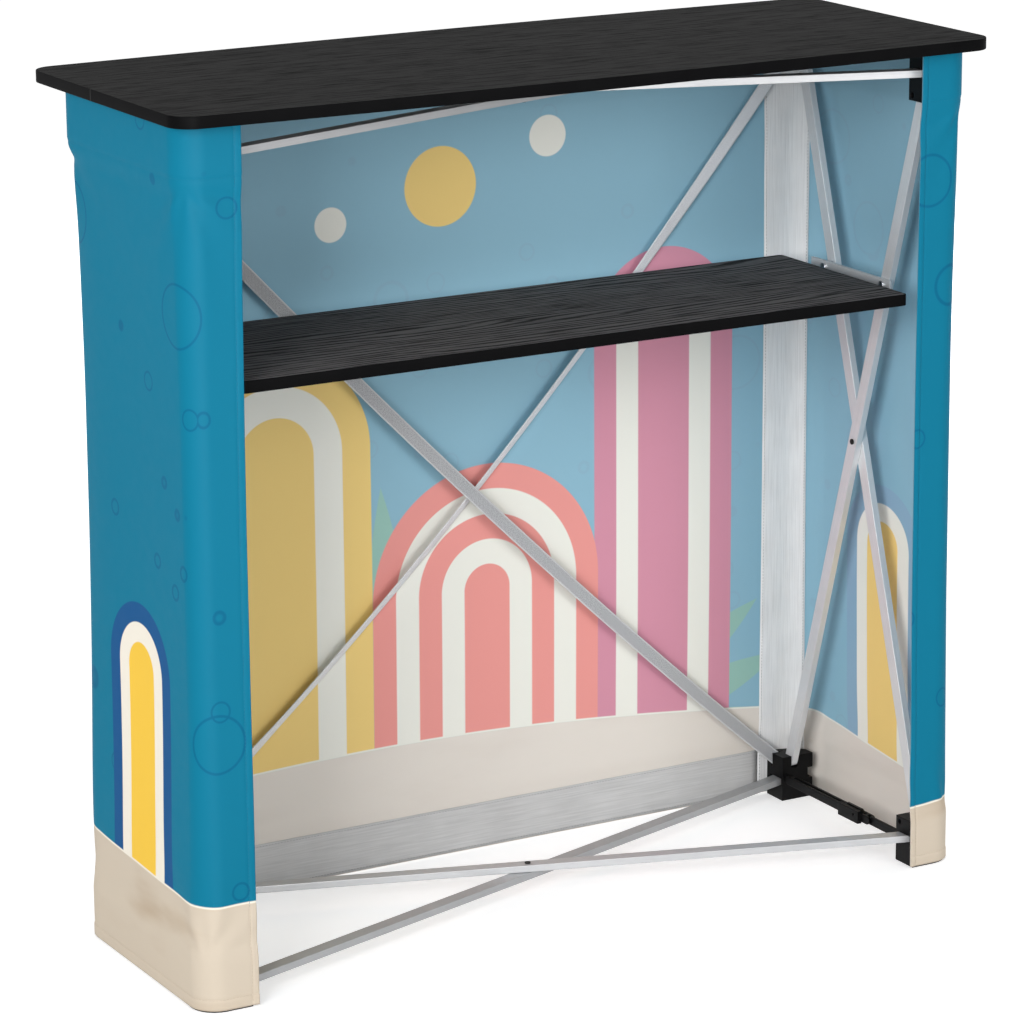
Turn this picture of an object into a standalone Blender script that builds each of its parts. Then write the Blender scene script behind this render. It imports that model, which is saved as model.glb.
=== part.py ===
"""Pop-up counter with a scissor frame, a stretch fabric wrap, a laminate top and one shelf.

Metres, +Z up. The origin is on the floor under the middle of the top. -Y is the open side where
the attendant stands, +Y is the customer's side and +X is the attendant's right.
"""
import math

import bmesh
import bpy
from mathutils import Matrix, Vector

# Clearances
CLEAR = 0.0003            # gap left between pieces that touch
SLOT_CLEAR = 0.0006       # play of a strut in a connector's slot

# Counter top
TOP_HEIGHT = 0.970
TOP_WIDTH = 1.000
TOP_DEPTH = 0.377         # at the two ends
TOP_BOW = 0.008           # how far each long edge bulges at its middle
TOP_OVERHANG_END = 0.013  # past the wrap's sides
TOP_OVERHANG_NEAR = 0.026
TOP_OVERHANG_FAR = 0.0355
TOP_CORNER = 0.027
TOP_THICK = 0.013
BAND_THICK = 0.0012       # edge band of both boards
PAD_THICK = 0.0030        # pads under the top
PAD_LENGTH = 0.036
PAD_WIDTH = 0.014
PAD_INSET = 0.018         # from a connector's outer faces

# Fabric wrap and the loop tape sewn inside it
WRAP_NEAR_RADIUS = 0.030
WRAP_FAR_RADIUS = 0.045
WRAP_RETURN = 0.067       # width of the flap that turns round onto the open side
WRAP_HEM_GAP = 0.002      # hem above the floor
WRAP_TOP_GAP = 0.002      # upper edge below the counter top
WRAP_WAIST = 0.0045       # how far the fabric draws in between the connectors
WRAP_BLEND = 0.140        # height over which it draws in
FABRIC_THICK = 0.0008
TAPE_THICK = 0.0010
TAPE_FLAT = 0.029         # part of the upright tapes' width that lies on the flat face
TAPE_LEVEL = 0.006        # from an end of the wrap to the level tapes
TAPE_LEVEL_WIDTH = 0.050

# Struts
STRUT_WIDTH = 0.016
STRUT_THICK = 0.008
STRUT_GAP = 0.0005        # between the two struts of a pair
PIN_RADIUS = 0.003
PIN_REACH = 0.004
PIVOT_RADIUS = 0.0022
PIVOT_HEAD = 0.0034
PIVOT_HEAD_THICK = 0.0012

# Connectors
HUB_CHEEK = 0.0131        # past the inner side strut
HUB_DEPTH = 0.0345
HUB_WALL = 0.003          # wall that carries the lock arm
HUB_WEB = 0.0055          # between the level struts and the ends of the side struts
HUB_CAP = 0.006           # past the pins of the side struts
HUB_FAR_FLAT = 0.001      # flat beside the far connectors' round corner
HUB_FAR_SIDE = 0.0155     # far connectors' side face, from the near connectors' one
HUB_NOTCH = 0.0225        # inner end of the notch in that face
HUB_NOTCH_DEPTH = 0.012
HUB_NOTCH_LOW = 0.024
HUB_NOTCH_HIGH = 0.037
SIDE_PIN_BACK = 0.007     # pins of the side struts, from the connector's inner face
SIDE_PLANE = 0.0294       # outer strut of a side pair, from the connector's outer face
LEVEL_PIN_WIDTH = 0.040   # pins of the floor and top struts
LEVEL_PIN_BACK = 0.0195
LEVEL_PLANE = 0.0190      # outer strut of a floor or top pair, from the connector's end

# Webbing straps that brace the customer's face
STRAP_WIDTH = 0.016
STRAP_THICK = 0.0012
STRAP_PLANE = 0.0080      # rear strap, from a far connector's outer face
STRAP_GAP = 0.0006        # between the two straps
STRAP_PAST = 0.005        # strap past its end pins
STRAP_PIN_INSET = 0.0055  # straps' pins, from the connector's inner end
STRAP_PIN_CAP = 0.0075    # connector past the straps' pins
STRAP_PIN_RADIUS = 0.002
STRAP_PIN_LENGTH = 0.011

# Shelf and its rails
SHELF_TOP = 0.6816
SHELF_PASS = 0.004        # gap between the shelf's ends and the wrap's flaps as it draws out
SHELF_NEAR_GAP = 0.0145   # from the wrap's outside to the shelf's near edge
SHELF_FAR_GAP = 0.040     # from the wrap's outside to the shelf's far edge
SHELF_THICK = 0.013
SHELF_CORNER = 0.006
RAIL_THICK = 0.003
RAIL_LEDGE = 0.034
RAIL_RISE = 0.0010        # rail above the shelf's top
RAIL_PAST_NEAR = 0.016    # rail past its near bolt
RAIL_PAST_FAR = 0.0265    # rail past its far bolt
RAIL_BOLT_RADIUS = 0.0025
RAIL_BOLT_HEAD = 0.0042
RAIL_BOLT_HEAD_THICK = 0.0018
RAIL_SPACER = 0.0050

# Lock arms between the floor connectors
ARM_WIDTH = 0.010
ARM_HEIGHT = 0.010
ARM_RAIL = 0.003          # thickness of each of the arm's two rails
ARM_LEVEL = 0.029         # height of its pins
ARM_INSET = 0.0056        # middle of the arm, from the connector's inner end
ARM_PIVOT_OUT = 0.0106    # pivot, from the connector's inner face
ARM_BRIDGE = 0.006        # solid part between the rails, beside the lever
BLOCK_HEIGHT = 0.015      # latch block on the arm's inner rail
BLOCK_THICK = 0.004
BLOCK_NEAR = 0.010        # block past the lever's pivot, to the catch
CATCH_REACH = 0.0624      # catch pin, from the near connector's inner face
ARM_PIN_RADIUS = 0.0024
ARM_CATCH_PLAY = 0.0006
TONGUE_NOSE = 0.008       # tongue past a pin
LEVER_OFFSET = 0.0225     # lever's pivot, from the catch pin
LEVER_ROOM = 0.026        # from the lever's pivot to the bridge
LEVER_RISE = 0.002        # lever's pivot above the arm's pins
LEVER_NOSE = 0.0115
LEVER_TAB = 0.024
LEVER_TAB_THICK = 0.0035
LEVER_PIN_RADIUS = 0.0016

ROUND_STEPS = 12          # sides of a pin or bolt
CORNER_STEPS = 6          # segments of a rounded corner
BOW_STEPS = 12            # segments of a bowed edge
WAIST_STEPS = 4           # bands over which the fabric draws in

# Places worked out from the sizes
TOP_UNDER = TOP_HEIGHT - TOP_THICK
WRAP_WIDTH = TOP_WIDTH - 2 * TOP_OVERHANG_END
WRAP_NEAR = TOP_DEPTH / 2 - TOP_OVERHANG_NEAR
WRAP_FAR = TOP_DEPTH / 2 - TOP_OVERHANG_FAR
HUB_TOP = TOP_UNDER - PAD_THICK - 2 * CLEAR
HUB_OUT_X = WRAP_WIDTH / 2 - FABRIC_THICK - CLEAR
HUB_OUT_Y = {
    -1: WRAP_NEAR - FABRIC_THICK - CLEAR,
    1: WRAP_FAR - FABRIC_THICK - TAPE_THICK - 2 * CLEAR,
}
STACK = STRUT_THICK + STRUT_GAP
HUB_WIDTH = SIDE_PLANE + STACK + STRUT_THICK + HUB_CHEEK
HUB_CORNER = {
    -1: WRAP_NEAR_RADIUS - FABRIC_THICK - CLEAR,
    1: HUB_WIDTH - HUB_FAR_FLAT,
}
SIDE_PIN_HEIGHT = LEVEL_PLANE + STACK + STRUT_THICK + HUB_WEB + STRUT_WIDTH / 2
HUB_HEIGHT = SIDE_PIN_HEIGHT + HUB_CAP
STRAP_PIN_HEIGHT = HUB_HEIGHT - STRAP_PIN_CAP
SHELF_UNDER = SHELF_TOP - SHELF_THICK
SHELF_WIDTH = WRAP_WIDTH - 2 * (WRAP_RETURN + SHELF_PASS)
SHELF_NEAR = -WRAP_NEAR + SHELF_NEAR_GAP
SHELF_FAR = WRAP_FAR - SHELF_FAR_GAP
ARM_PIVOT = HUB_OUT_Y[1] - HUB_DEPTH - ARM_PIVOT_OUT
ARM_CATCH = -(HUB_OUT_Y[-1] - HUB_DEPTH) + CATCH_REACH
LEVER_PIVOT = ARM_CATCH + LEVER_OFFSET
SIDE_NAMES = {-1: "left", 1: "right"}
DEPTH_NAMES = {-1: "near", 1: "far"}
LEVEL_NAMES = {False: "lower", True: "upper"}


def hub_place(side, depth, upper, in_x, in_y, in_z):
    """World point at distances measured inward from a connector's three outer faces."""
    height = HUB_TOP - in_z if upper else in_z
    return Vector((side * (HUB_OUT_X - in_x), depth * (HUB_OUT_Y[depth] - in_y), height))


def clear_scene():
    for old in list(bpy.data.objects):
        bpy.data.objects.remove(old, do_unlink=True)


def make_material(name, colour, roughness, metallic):
    made = bpy.data.materials.new(name)
    made.use_nodes = True
    shader = made.node_tree.nodes["Principled BSDF"]
    shader.inputs["Base Color"].default_value = (*colour, 1.0)
    shader.inputs["Roughness"].default_value = roughness
    shader.inputs["Metallic"].default_value = metallic
    return made


def add_object(name, shape, material, matrix=None):
    """Turn a bmesh into a named object, with its faces pointing out."""
    bmesh.ops.recalc_face_normals(shape, faces=shape.faces)
    mesh = bpy.data.meshes.new(name)
    shape.to_mesh(mesh)
    shape.free()
    made = bpy.data.objects.new(name, mesh)
    bpy.context.scene.collection.objects.link(made)
    if material is not None:
        mesh.materials.append(material)
    if matrix is not None:
        made.matrix_world = matrix
    return made


def add_tool(target, shape, operation):
    """Cut a hidden shape from an object, or join it to the object. It shares the object's frame."""
    tool = add_object(f"{target.name}_tool_{len(target.modifiers)}", shape, None, target.matrix_world)
    tool.hide_render = True
    tool.display_type = "WIRE"
    boolean = target.modifiers.new(tool.name, "BOOLEAN")
    boolean.operation = operation
    boolean.object = tool


def cut(target, shape):
    add_tool(target, shape, "DIFFERENCE")


def join(target, shape):
    add_tool(target, shape, "UNION")


def box(corner, opposite):
    """Box between two opposite corners."""
    low = Vector(min(a, b) for a, b in zip(corner, opposite))
    high = Vector(max(a, b) for a, b in zip(corner, opposite))
    shape = bmesh.new()
    place = Matrix.Translation((low + high) / 2) @ Matrix.Diagonal((*(high - low), 1.0))
    bmesh.ops.create_cube(shape, size=1.0, matrix=place)
    return shape


def rod(start, end, radius):
    """Round rod between two points."""
    start = Vector(start)
    along = Vector(end) - start
    turn = Vector((0, 0, 1)).rotation_difference(along).to_matrix().to_4x4()
    shape = bmesh.new()
    bmesh.ops.create_cone(
        shape, cap_ends=True, segments=ROUND_STEPS, radius1=radius, radius2=radius,
        depth=along.length, matrix=Matrix.Translation(start + along / 2) @ turn)
    return shape


def turned_bolt(start, along, steps):
    """Round piece turned about the line from start; steps are (length, radius) pairs in order."""
    along = Vector(along).normalized()
    turn = Vector((0, 0, 1)).rotation_difference(along).to_matrix().to_4x4()
    profile = [(0.0, steps[0][1])]
    reach = 0.0
    for index, (length, radius) in enumerate(steps):
        if index and radius != profile[-1][1]:
            profile.append((reach, radius))
        reach += length
        profile.append((reach, radius))
    shape = bmesh.new()
    rings = []
    for height, radius in profile:
        angles = [2 * math.pi * k / ROUND_STEPS for k in range(ROUND_STEPS)]
        rings.append([
            shape.verts.new((radius * math.cos(a), radius * math.sin(a), height)) for a in angles])
    for below, above in zip(rings, rings[1:]):
        for k in range(ROUND_STEPS):
            after = (k + 1) % ROUND_STEPS
            shape.faces.new((below[k], below[after], above[after], above[k]))
    shape.faces.new(reversed(rings[0]))
    shape.faces.new(rings[-1])
    bmesh.ops.transform(shape, matrix=Matrix.Translation(Vector(start)) @ turn, verts=shape.verts)
    return shape


def prism(outline, start, along):
    """Solid between a closed flat outline of points, moved by start, and the same moved by along."""
    shape = bmesh.new()
    near = [shape.verts.new(Vector(point) + Vector(start)) for point in outline]
    far = [shape.verts.new(vert.co + Vector(along)) for vert in near]
    count = len(outline)
    for k in range(count):
        after = (k + 1) % count
        shape.faces.new((near[k], near[after], far[after], far[k]))
    shape.faces.new(reversed(near))
    shape.faces.new(far)
    return shape


def arc(centre, radius, start, end, steps):
    """Points of an arc in a plane, from one angle to another in degrees."""
    angles = [math.radians(start + (end - start) * k / steps) for k in range(steps + 1)]
    return [(centre[0] + radius * math.cos(a), centre[1] + radius * math.sin(a)) for a in angles]


def bowed_outline(width, depth, bow, corner):
    """Rectangle with rounded corners whose two long edges bulge outwards, anticlockwise."""
    flat_x = width / 2 - corner
    flat_y = depth / 2 - corner
    points = []
    for start, sign in ((0, 1), (180, -1)):
        points += arc((sign * flat_x, sign * flat_y), corner, start, start + 90, CORNER_STEPS)
        if bow:
            for k in range(1, BOW_STEPS):
                along = 1 - 2 * k / BOW_STEPS
                points.append((sign * flat_x * along, sign * (depth / 2 + bow * (1 - along ** 2))))
        points += arc(
            (-sign * flat_x, sign * flat_y), corner, start + 90, start + 180, CORNER_STEPS)
    return points


def ring_solid(outer, inner, bottom, top):
    """Upright band between two outlines with as many points each."""
    shape = bmesh.new()
    loops = [
        [shape.verts.new((x, y, z)) for x, y in outline]
        for outline, z in ((outer, bottom), (outer, top), (inner, top), (inner, bottom))]
    count = len(outer)
    for one, two in zip(loops, loops[1:] + loops[:1]):
        for k in range(count):
            after = (k + 1) % count
            shape.faces.new((one[k], one[after], two[after], two[k]))
    return shape


def banded_board(name, size, bow, corner, thick, place, finish):
    """Laminate board and the edge band glued round it."""
    width, depth = size
    step = BAND_THICK + CLEAR
    inner = bowed_outline(width - 2 * step, depth - 2 * step, bow, corner - step)
    lip = bowed_outline(width - 2 * BAND_THICK, depth - 2 * BAND_THICK, bow, corner - BAND_THICK)
    outer = bowed_outline(width, depth, bow, corner)
    board = prism([(x, y, 0) for x, y in inner], (0, 0, 0), (0, 0, thick))
    add_object(f"{name}_board", board, finish["laminate"], Matrix.Translation(place))
    band = ring_solid(outer, lip, 0, thick)
    add_object(f"{name}_edge_band", band, finish["edge_band"], Matrix.Translation(place))


def strut_frame(start, end, normal):
    """Frame at the middle of a strut: x along it and z along its pins."""
    along = (end - start).normalized()
    across = normal.cross(along)
    turn = Matrix((along, across, normal)).transposed().to_4x4()
    return Matrix.Translation((start + end) / 2) @ turn


def add_strut(name, start, end, normal, material, holes=()):
    """Flat bar with round ends, between the middles of its two end pins.

    Holes are (distance from the middle, radius) pairs along the strut.
    """
    half = (end - start).length / 2
    round_end = STRUT_WIDTH / 2
    outline = arc((half, 0), round_end, -90, 90, CORNER_STEPS)
    outline += arc((-half, 0), round_end, 90, 270, CORNER_STEPS)
    body = prism(
        [(x, y, 0) for x, y in outline], (0, 0, -STRUT_THICK / 2), (0, 0, STRUT_THICK))
    made = add_object(name, body, material, strut_frame(start, end, normal))
    for distance, radius in holes:
        cut(made, rod((distance, 0, -STRUT_THICK), (distance, 0, STRUT_THICK), radius + CLEAR))
    reach = STRUT_THICK / 2 + PIN_REACH
    for sign in (-1, 1):
        join(made, rod((sign * half, 0, -reach), (sign * half, 0, reach), PIN_RADIUS))
    return made


def add_pair(name, pins, normal, material, shelf_holes=(None, None)):
    """Two crossing struts and the pivot bolt that joins them at their middles.

    pins holds the two ends of each strut; the first strut lies further along the normal.
    """
    names = (f"{name}_strut_outer", f"{name}_strut_inner")
    for strut_name, (start, end), hole in zip(names, pins, shelf_holes):
        holes = [(0.0, PIVOT_RADIUS)]
        if hole is not None:
            share = (hole - start.z) / (end.z - start.z)
            holes.append(((share - 0.5) * (end - start).length, RAIL_BOLT_RADIUS))
        add_strut(strut_name, start, end, normal, material["aluminium"], holes)
    middle = sum((point for pair in pins for point in pair), Vector()) / 4
    grip = 2 * STRUT_THICK + STRUT_GAP + 2 * CLEAR
    head = (PIVOT_HEAD_THICK, PIVOT_HEAD)
    start = middle - normal * (grip / 2 + PIVOT_HEAD_THICK)
    bolt = turned_bolt(start, normal, (head, (grip, PIVOT_RADIUS), head))
    add_object(f"{name}_pivot_bolt", bolt, material["steel"])


def side_pin(side, depth, upper):
    """Middle of a side strut's end pin. Struts from far below to near above lie inside."""
    inner = (depth > 0) != upper
    in_x = SIDE_PLANE + STRUT_THICK / 2 + (STACK if inner else 0.0)
    return hub_place(side, depth, upper, in_x, HUB_DEPTH - SIDE_PIN_BACK, SIDE_PIN_HEIGHT)


def level_pin(side, depth, upper):
    """Middle of a floor or top strut's end pin. Struts from far right to near left lie outside."""
    outer = (side == depth) != upper
    in_z = LEVEL_PLANE + STRUT_THICK / 2 + (0.0 if outer else STACK)
    return hub_place(side, depth, upper, LEVEL_PIN_WIDTH, HUB_DEPTH - LEVEL_PIN_BACK, in_z)


def strap_pin(side, upper):
    """Middle of a strap's end pin. The strap from below right to above left is in front."""
    front = (side > 0) != upper
    in_y = STRAP_PLANE + STRAP_THICK / 2 + (STRAP_THICK + STRAP_GAP if front else 0.0)
    return hub_place(side, 1, upper, HUB_WIDTH - STRAP_PIN_INSET, in_y, STRAP_PIN_HEIGHT)


def slot_cut(middle, normal, thick, reach, open_to):
    """Box that frees a flat end: reach round its pin, and on to the open corner point."""
    half = thick / 2 + SLOT_CLEAR
    corner = []
    opposite = []
    for axis in range(3):
        if abs(normal[axis]) > 0.5:
            corner.append(middle[axis] - half)
            opposite.append(middle[axis] + half)
        else:
            away = math.copysign(reach, middle[axis] - open_to[axis])
            corner.append(middle[axis] + away)
            opposite.append(open_to[axis])
    return box(corner, opposite)


def add_hub(side, depth, upper, material):
    """Moulded corner connector with a slot and pin holes for each strut and strap that ends in it."""
    def place(in_x, in_y, in_z):
        return hub_place(side, depth, upper, in_x, in_y, in_z)

    corner = HUB_CORNER[depth]
    side_face = HUB_FAR_SIDE if depth > 0 else 0.0
    turn = 180 + math.degrees(math.acos(1 - side_face / corner))
    plan = [(side_face, HUB_DEPTH)] + arc((corner, corner), corner, turn, 270, CORNER_STEPS)
    plan += [(HUB_WIDTH, 0), (HUB_WIDTH, HUB_DEPTH)]
    outline = [place(in_x, in_y, 0) for in_x, in_y in plan]
    rise = place(0, 0, HUB_HEIGHT) - place(0, 0, 0)
    name = f"connector_{LEVEL_NAMES[upper]}_{DEPTH_NAMES[depth]}_{SIDE_NAMES[side]}"
    made = add_object(name, prism(outline, (0, 0, 0), rise), material)
    reach = STRUT_WIDTH / 2 + SLOT_CLEAR
    past = STRUT_WIDTH
    bore = PIN_RADIUS + CLEAR
    pin_end = STRUT_THICK / 2 + PIN_REACH + CLEAR
    bore_end = HUB_WIDTH if depth < 0 else pin_end
    if depth > 0:
        if not upper:
            add_arm_tongue(made, side)
        inner_end = place(HUB_NOTCH, HUB_DEPTH - HUB_NOTCH_DEPTH, HUB_NOTCH_LOW)
        cut(made, box(inner_end, place(0, HUB_DEPTH + past, HUB_NOTCH_HIGH)))
        pin = strap_pin(side, upper)
        forward = Vector((0, 1, 0))
        round_pin = math.hypot(STRAP_WIDTH / 2, STRAP_PAST) + SLOT_CLEAR
        open_to = place(HUB_WIDTH + past, 0, HUB_HEIGHT + past)
        cut(made, slot_cut(pin, forward, STRAP_THICK, round_pin, open_to))
        half = forward * (STRAP_PIN_LENGTH / 2 + CLEAR)
        cut(made, rod(pin - half, pin + half, STRAP_PIN_RADIUS + CLEAR))
    pin = side_pin(side, depth, upper)
    sideways = Vector((side, 0, 0))
    open_to = place(0, HUB_DEPTH + past, HUB_HEIGHT + past)
    cut(made, slot_cut(pin, sideways, STRUT_THICK, reach, open_to))
    cut(made, rod(pin + sideways * pin_end, pin - sideways * bore_end, bore))
    pin = level_pin(side, depth, upper)
    upright = Vector((0, 0, 1))
    open_to = place(HUB_WIDTH + past, HUB_DEPTH - HUB_WALL, 0)
    cut(made, slot_cut(pin, upright, STRUT_THICK, reach, open_to))
    cut(made, rod(pin - upright * pin_end, pin + upright * pin_end, bore))


def add_strap(name, start, end, material):
    """Webbing strap between two end pins, drawn straight and flat, with a hole for each pin."""
    half = (end - start).length / 2
    tip = half + STRAP_PAST
    body = box((-tip, -STRAP_WIDTH / 2, -STRAP_THICK / 2), (tip, STRAP_WIDTH / 2, STRAP_THICK / 2))
    made = add_object(name, body, material["webbing"], strut_frame(start, end, Vector((0, 1, 0))))
    for x in (-half, half):
        through = Vector((0, 0, STRAP_PIN_LENGTH))
        middle = Vector((x, 0, 0))
        cut(made, rod(middle - through, middle + through, STRAP_PIN_RADIUS + CLEAR))


def add_strap_pins(material):
    """Steel pins that hold the straps' ends in the far connectors."""
    half = Vector((0, STRAP_PIN_LENGTH / 2, 0))
    for upper in (False, True):
        for side in (-1, 1):
            pin = strap_pin(side, upper)
            name = f"strap_pin_{LEVEL_NAMES[upper]}_{SIDE_NAMES[side]}"
            add_object(name, rod(pin - half, pin + half, STRAP_PIN_RADIUS), material["steel"])


def arm_x(side):
    """Middle plane of a lock arm."""
    return side * (HUB_OUT_X - HUB_WIDTH + ARM_INSET)


def tongue_half():
    """Half thickness of what lies between an arm's two rails."""
    return ARM_WIDTH / 2 - ARM_RAIL - CLEAR


def add_arm_tongue(hub, side):
    """Tongue on a far floor connector that the lock arm's fork turns on."""
    middle = arm_x(side)
    half = tongue_half()
    root = HUB_OUT_Y[1] - HUB_DEPTH + HUB_WALL / 2
    nose = ARM_PIVOT - TONGUE_NOSE
    low = ARM_LEVEL - ARM_HEIGHT / 2
    join(hub, box((middle - half, nose, low), (middle + half, root, low + ARM_HEIGHT)))
    pivot = Vector((middle, ARM_PIVOT, ARM_LEVEL))
    across = Vector((ARM_WIDTH, 0, 0))
    cut(hub, rod(pivot - across, pivot + across, ARM_PIN_RADIUS + CLEAR))


def add_lock_arm(side, material):
    """Double-railed arm that keeps the floor connectors apart. Its origin is on its pivot."""
    pivot = Vector((arm_x(side), ARM_PIVOT, ARM_LEVEL))
    radius = ARM_HEIGHT / 2
    tip = ARM_CATCH - ARM_PIVOT
    outline = arc((0, 0), radius, -90, 90, CORNER_STEPS)
    outline += arc((tip, 0), radius, 90, 270, CORNER_STEPS)
    body = prism([(0, y, z) for y, z in outline], (-ARM_WIDTH / 2, 0, 0), (ARM_WIDTH, 0, 0))
    arm = add_object(
        f"lock_arm_{SIDE_NAMES[side]}", body, material["moulded"], Matrix.Translation(pivot))
    half = ARM_WIDTH / 2 - ARM_RAIL
    past = 2 * radius
    lever_y = LEVER_PIVOT - ARM_PIVOT
    bridge = lever_y + LEVER_ROOM
    cut(arm, box((-half, bridge + ARM_BRIDGE, -past), (half, past, past)))
    cut(arm, box((-half, bridge, -past), (half, tip - past, past)))
    rail = -side * (ARM_WIDTH / 2 - ARM_RAIL / 2)
    cheek = -side * (ARM_WIDTH / 2 + BLOCK_THICK)
    join(arm, box(
        (rail, lever_y - BLOCK_NEAR, -BLOCK_HEIGHT / 2),
        (cheek, bridge + ARM_BRIDGE, BLOCK_HEIGHT / 2)))
    lever_pin = Vector((0, lever_y, LEVER_RISE))
    across = Vector((ARM_WIDTH, 0, 0))
    cut(arm, rod(lever_pin - across, lever_pin + across, LEVER_PIN_RADIUS + CLEAR))
    across = Vector((ARM_WIDTH / 2, 0, 0))
    for y in (0, tip):
        middle = Vector((0, y, 0))
        join(arm, rod(middle - across, middle + across, ARM_PIN_RADIUS))


def add_latch_lever(side, material):
    """Finger lever that turns between the arm's rails. Its origin is on its pivot."""
    pivot = Vector((arm_x(side), LEVER_PIVOT, ARM_LEVEL + LEVER_RISE))
    half = tongue_half()
    top = ARM_HEIGHT / 2 - LEVER_RISE + LEVER_TAB_THICK
    foot = -ARM_HEIGHT / 2 - LEVER_RISE + LEVER_TAB_THICK
    outline = (
        (-LEVER_NOSE, foot), (LEVER_NOSE / 2, foot), (LEVER_NOSE, top - LEVER_TAB_THICK),
        (LEVER_TAB, top - LEVER_TAB_THICK), (LEVER_TAB, top), (-LEVER_NOSE / 2, top),
        (-LEVER_NOSE, top - LEVER_TAB_THICK))
    body = prism([(0, y, z) for y, z in outline], (-half, 0, 0), (2 * half, 0, 0))
    lever = add_object(
        f"latch_lever_{SIDE_NAMES[side]}", body, material["lever"], Matrix.Translation(pivot))
    across = Vector((ARM_WIDTH / 2, 0, 0))
    join(lever, rod(-across, across, LEVER_PIN_RADIUS))


def add_catch(side, material):
    """Tongue on the near floor connector whose open notch takes the arm's catch pin."""
    middle = arm_x(side)
    half = tongue_half()
    low = ARM_LEVEL - ARM_HEIGHT / 2
    root = -(HUB_OUT_Y[-1] - HUB_DEPTH) + CLEAR
    nose = ARM_CATCH + TONGUE_NOSE
    body = box((middle - half, root, low), (middle + half, nose, low + ARM_HEIGHT))
    made = add_object(f"lock_catch_{SIDE_NAMES[side]}", body, material["moulded"])
    notch = ARM_PIN_RADIUS + ARM_CATCH_PLAY
    pin = Vector((middle, ARM_CATCH, ARM_LEVEL))
    across = Vector((ARM_WIDTH, 0, 0))
    cut(made, rod(pin - across, pin + across, notch))
    cut(made, box(
        pin - across - Vector((0, notch, 0)), pin + across + Vector((0, notch, ARM_HEIGHT))))


def strut_y_at(start, end, height):
    """Where a side strut's middle line passes a height."""
    share = (height - start.z) / (end.z - start.z)
    return start.y + share * (end.y - start.y)


def rail_bolt_height():
    """Middle of the rail's upright flange above the shelf's underside."""
    return (SHELF_UNDER + SHELF_TOP + RAIL_RISE) / 2


def add_shelf_rail(side, pairs, material):
    """Angle rail bolted to both struts of a side pair; the shelf lies on its ledge."""
    outer, inner = pairs
    face = inner[0].x - side * (STRUT_THICK / 2 + CLEAR)
    inside = face - side * RAIL_THICK
    ledge = inside - side * (RAIL_LEDGE - RAIL_THICK)
    seat = SHELF_UNDER - CLEAR
    name = SIDE_NAMES[side]
    section = (
        (face, seat - RAIL_THICK), (face, SHELF_TOP + RAIL_RISE), (inside, SHELF_TOP + RAIL_RISE),
        (inside, seat), (ledge, seat), (ledge, seat - RAIL_THICK))
    height = rail_bolt_height()
    near_end = strut_y_at(*inner, height) - RAIL_PAST_NEAR
    far_end = strut_y_at(*outer, height) + RAIL_PAST_FAR
    body = prism([(x, near_end, z) for x, z in section], (0, 0, 0), (0, far_end - near_end, 0))
    rail = add_object(f"shelf_rail_{name}", body, material["aluminium"])
    outward = Vector((side, 0, 0))
    head = (RAIL_BOLT_HEAD_THICK, RAIL_BOLT_HEAD)
    for label, (start, end) in (("far", outer), ("near", inner)):
        y = strut_y_at(start, end, height)
        middle = Vector((inside, y, height))
        across = outward * 2 * RAIL_THICK
        cut(rail, rod(middle - across, middle + across, RAIL_BOLT_RADIUS + CLEAR))
        strut_face = start.x - side * STRUT_THICK / 2
        spacer = abs(strut_face - face) - 2 * CLEAR
        grip = STRUT_THICK + 2 * CLEAR
        shank = RAIL_THICK + 2 * CLEAR
        steps = [head, (shank, RAIL_BOLT_RADIUS)]
        if spacer > RAIL_THICK:
            steps.append((spacer, RAIL_SPACER))
            steps.append((grip, RAIL_BOLT_RADIUS))
        else:
            steps[-1] = (abs(strut_face - inside) + STRUT_THICK + 2 * CLEAR, RAIL_BOLT_RADIUS)
        steps.append(head)
        head_start = middle - outward * (RAIL_BOLT_HEAD_THICK + CLEAR)
        bolt = turned_bolt(head_start, outward, steps)
        add_object(f"shelf_rail_bolt_{label}_{name}", bolt, material["steel"])


def wrap_plan():
    """Outside of the wrap seen from above, as (x, y, outward x, outward y), from flap to flap."""
    half = WRAP_WIDTH / 2
    near = WRAP_NEAR_RADIUS
    far = WRAP_FAR_RADIUS
    corners = (
        ((-half + near, -WRAP_NEAR + near), near, 270, 180),
        ((-half + far, WRAP_FAR - far), far, 180, 90),
        ((half - far, WRAP_FAR - far), far, 90, 0),
        ((half - near, -WRAP_NEAR + near), near, 0, -90),
    )
    points = [(-half + WRAP_RETURN, -WRAP_NEAR, 0.0, -1.0)]
    marks = []
    for centre, radius, start, end in corners:
        marks.append(len(points))
        for k in range(CORNER_STEPS + 1):
            angle = math.radians(start + (end - start) * k / CORNER_STEPS)
            out_x = math.cos(angle)
            out_y = math.sin(angle)
            points.append((centre[0] + radius * out_x, centre[1] + radius * out_y, out_x, out_y))
    points.append((half - WRAP_RETURN, -WRAP_NEAR, 0.0, -1.0))
    return points, marks


def waist(height):
    """How far the fabric has drawn in at a height: none at the connectors, all in between."""
    below = (height - HUB_HEIGHT) / WRAP_BLEND
    above = (HUB_TOP - HUB_HEIGHT - height) / WRAP_BLEND
    share = max(0.0, min(1.0, below, above))
    return WRAP_WAIST * share * share * (3 - 2 * share)


def wrap_levels(bottom, top):
    """Heights at which a piece of the wrap needs points."""
    low = HUB_HEIGHT
    high = HUB_TOP - HUB_HEIGHT
    levels = [low + WRAP_BLEND * k / WAIST_STEPS for k in range(WAIST_STEPS + 1)]
    levels += [high - WRAP_BLEND * k / WAIST_STEPS for k in range(WAIST_STEPS + 1)]
    return [bottom] + sorted(z for z in levels if bottom + CLEAR < z < top - CLEAR) + [top]


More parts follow.
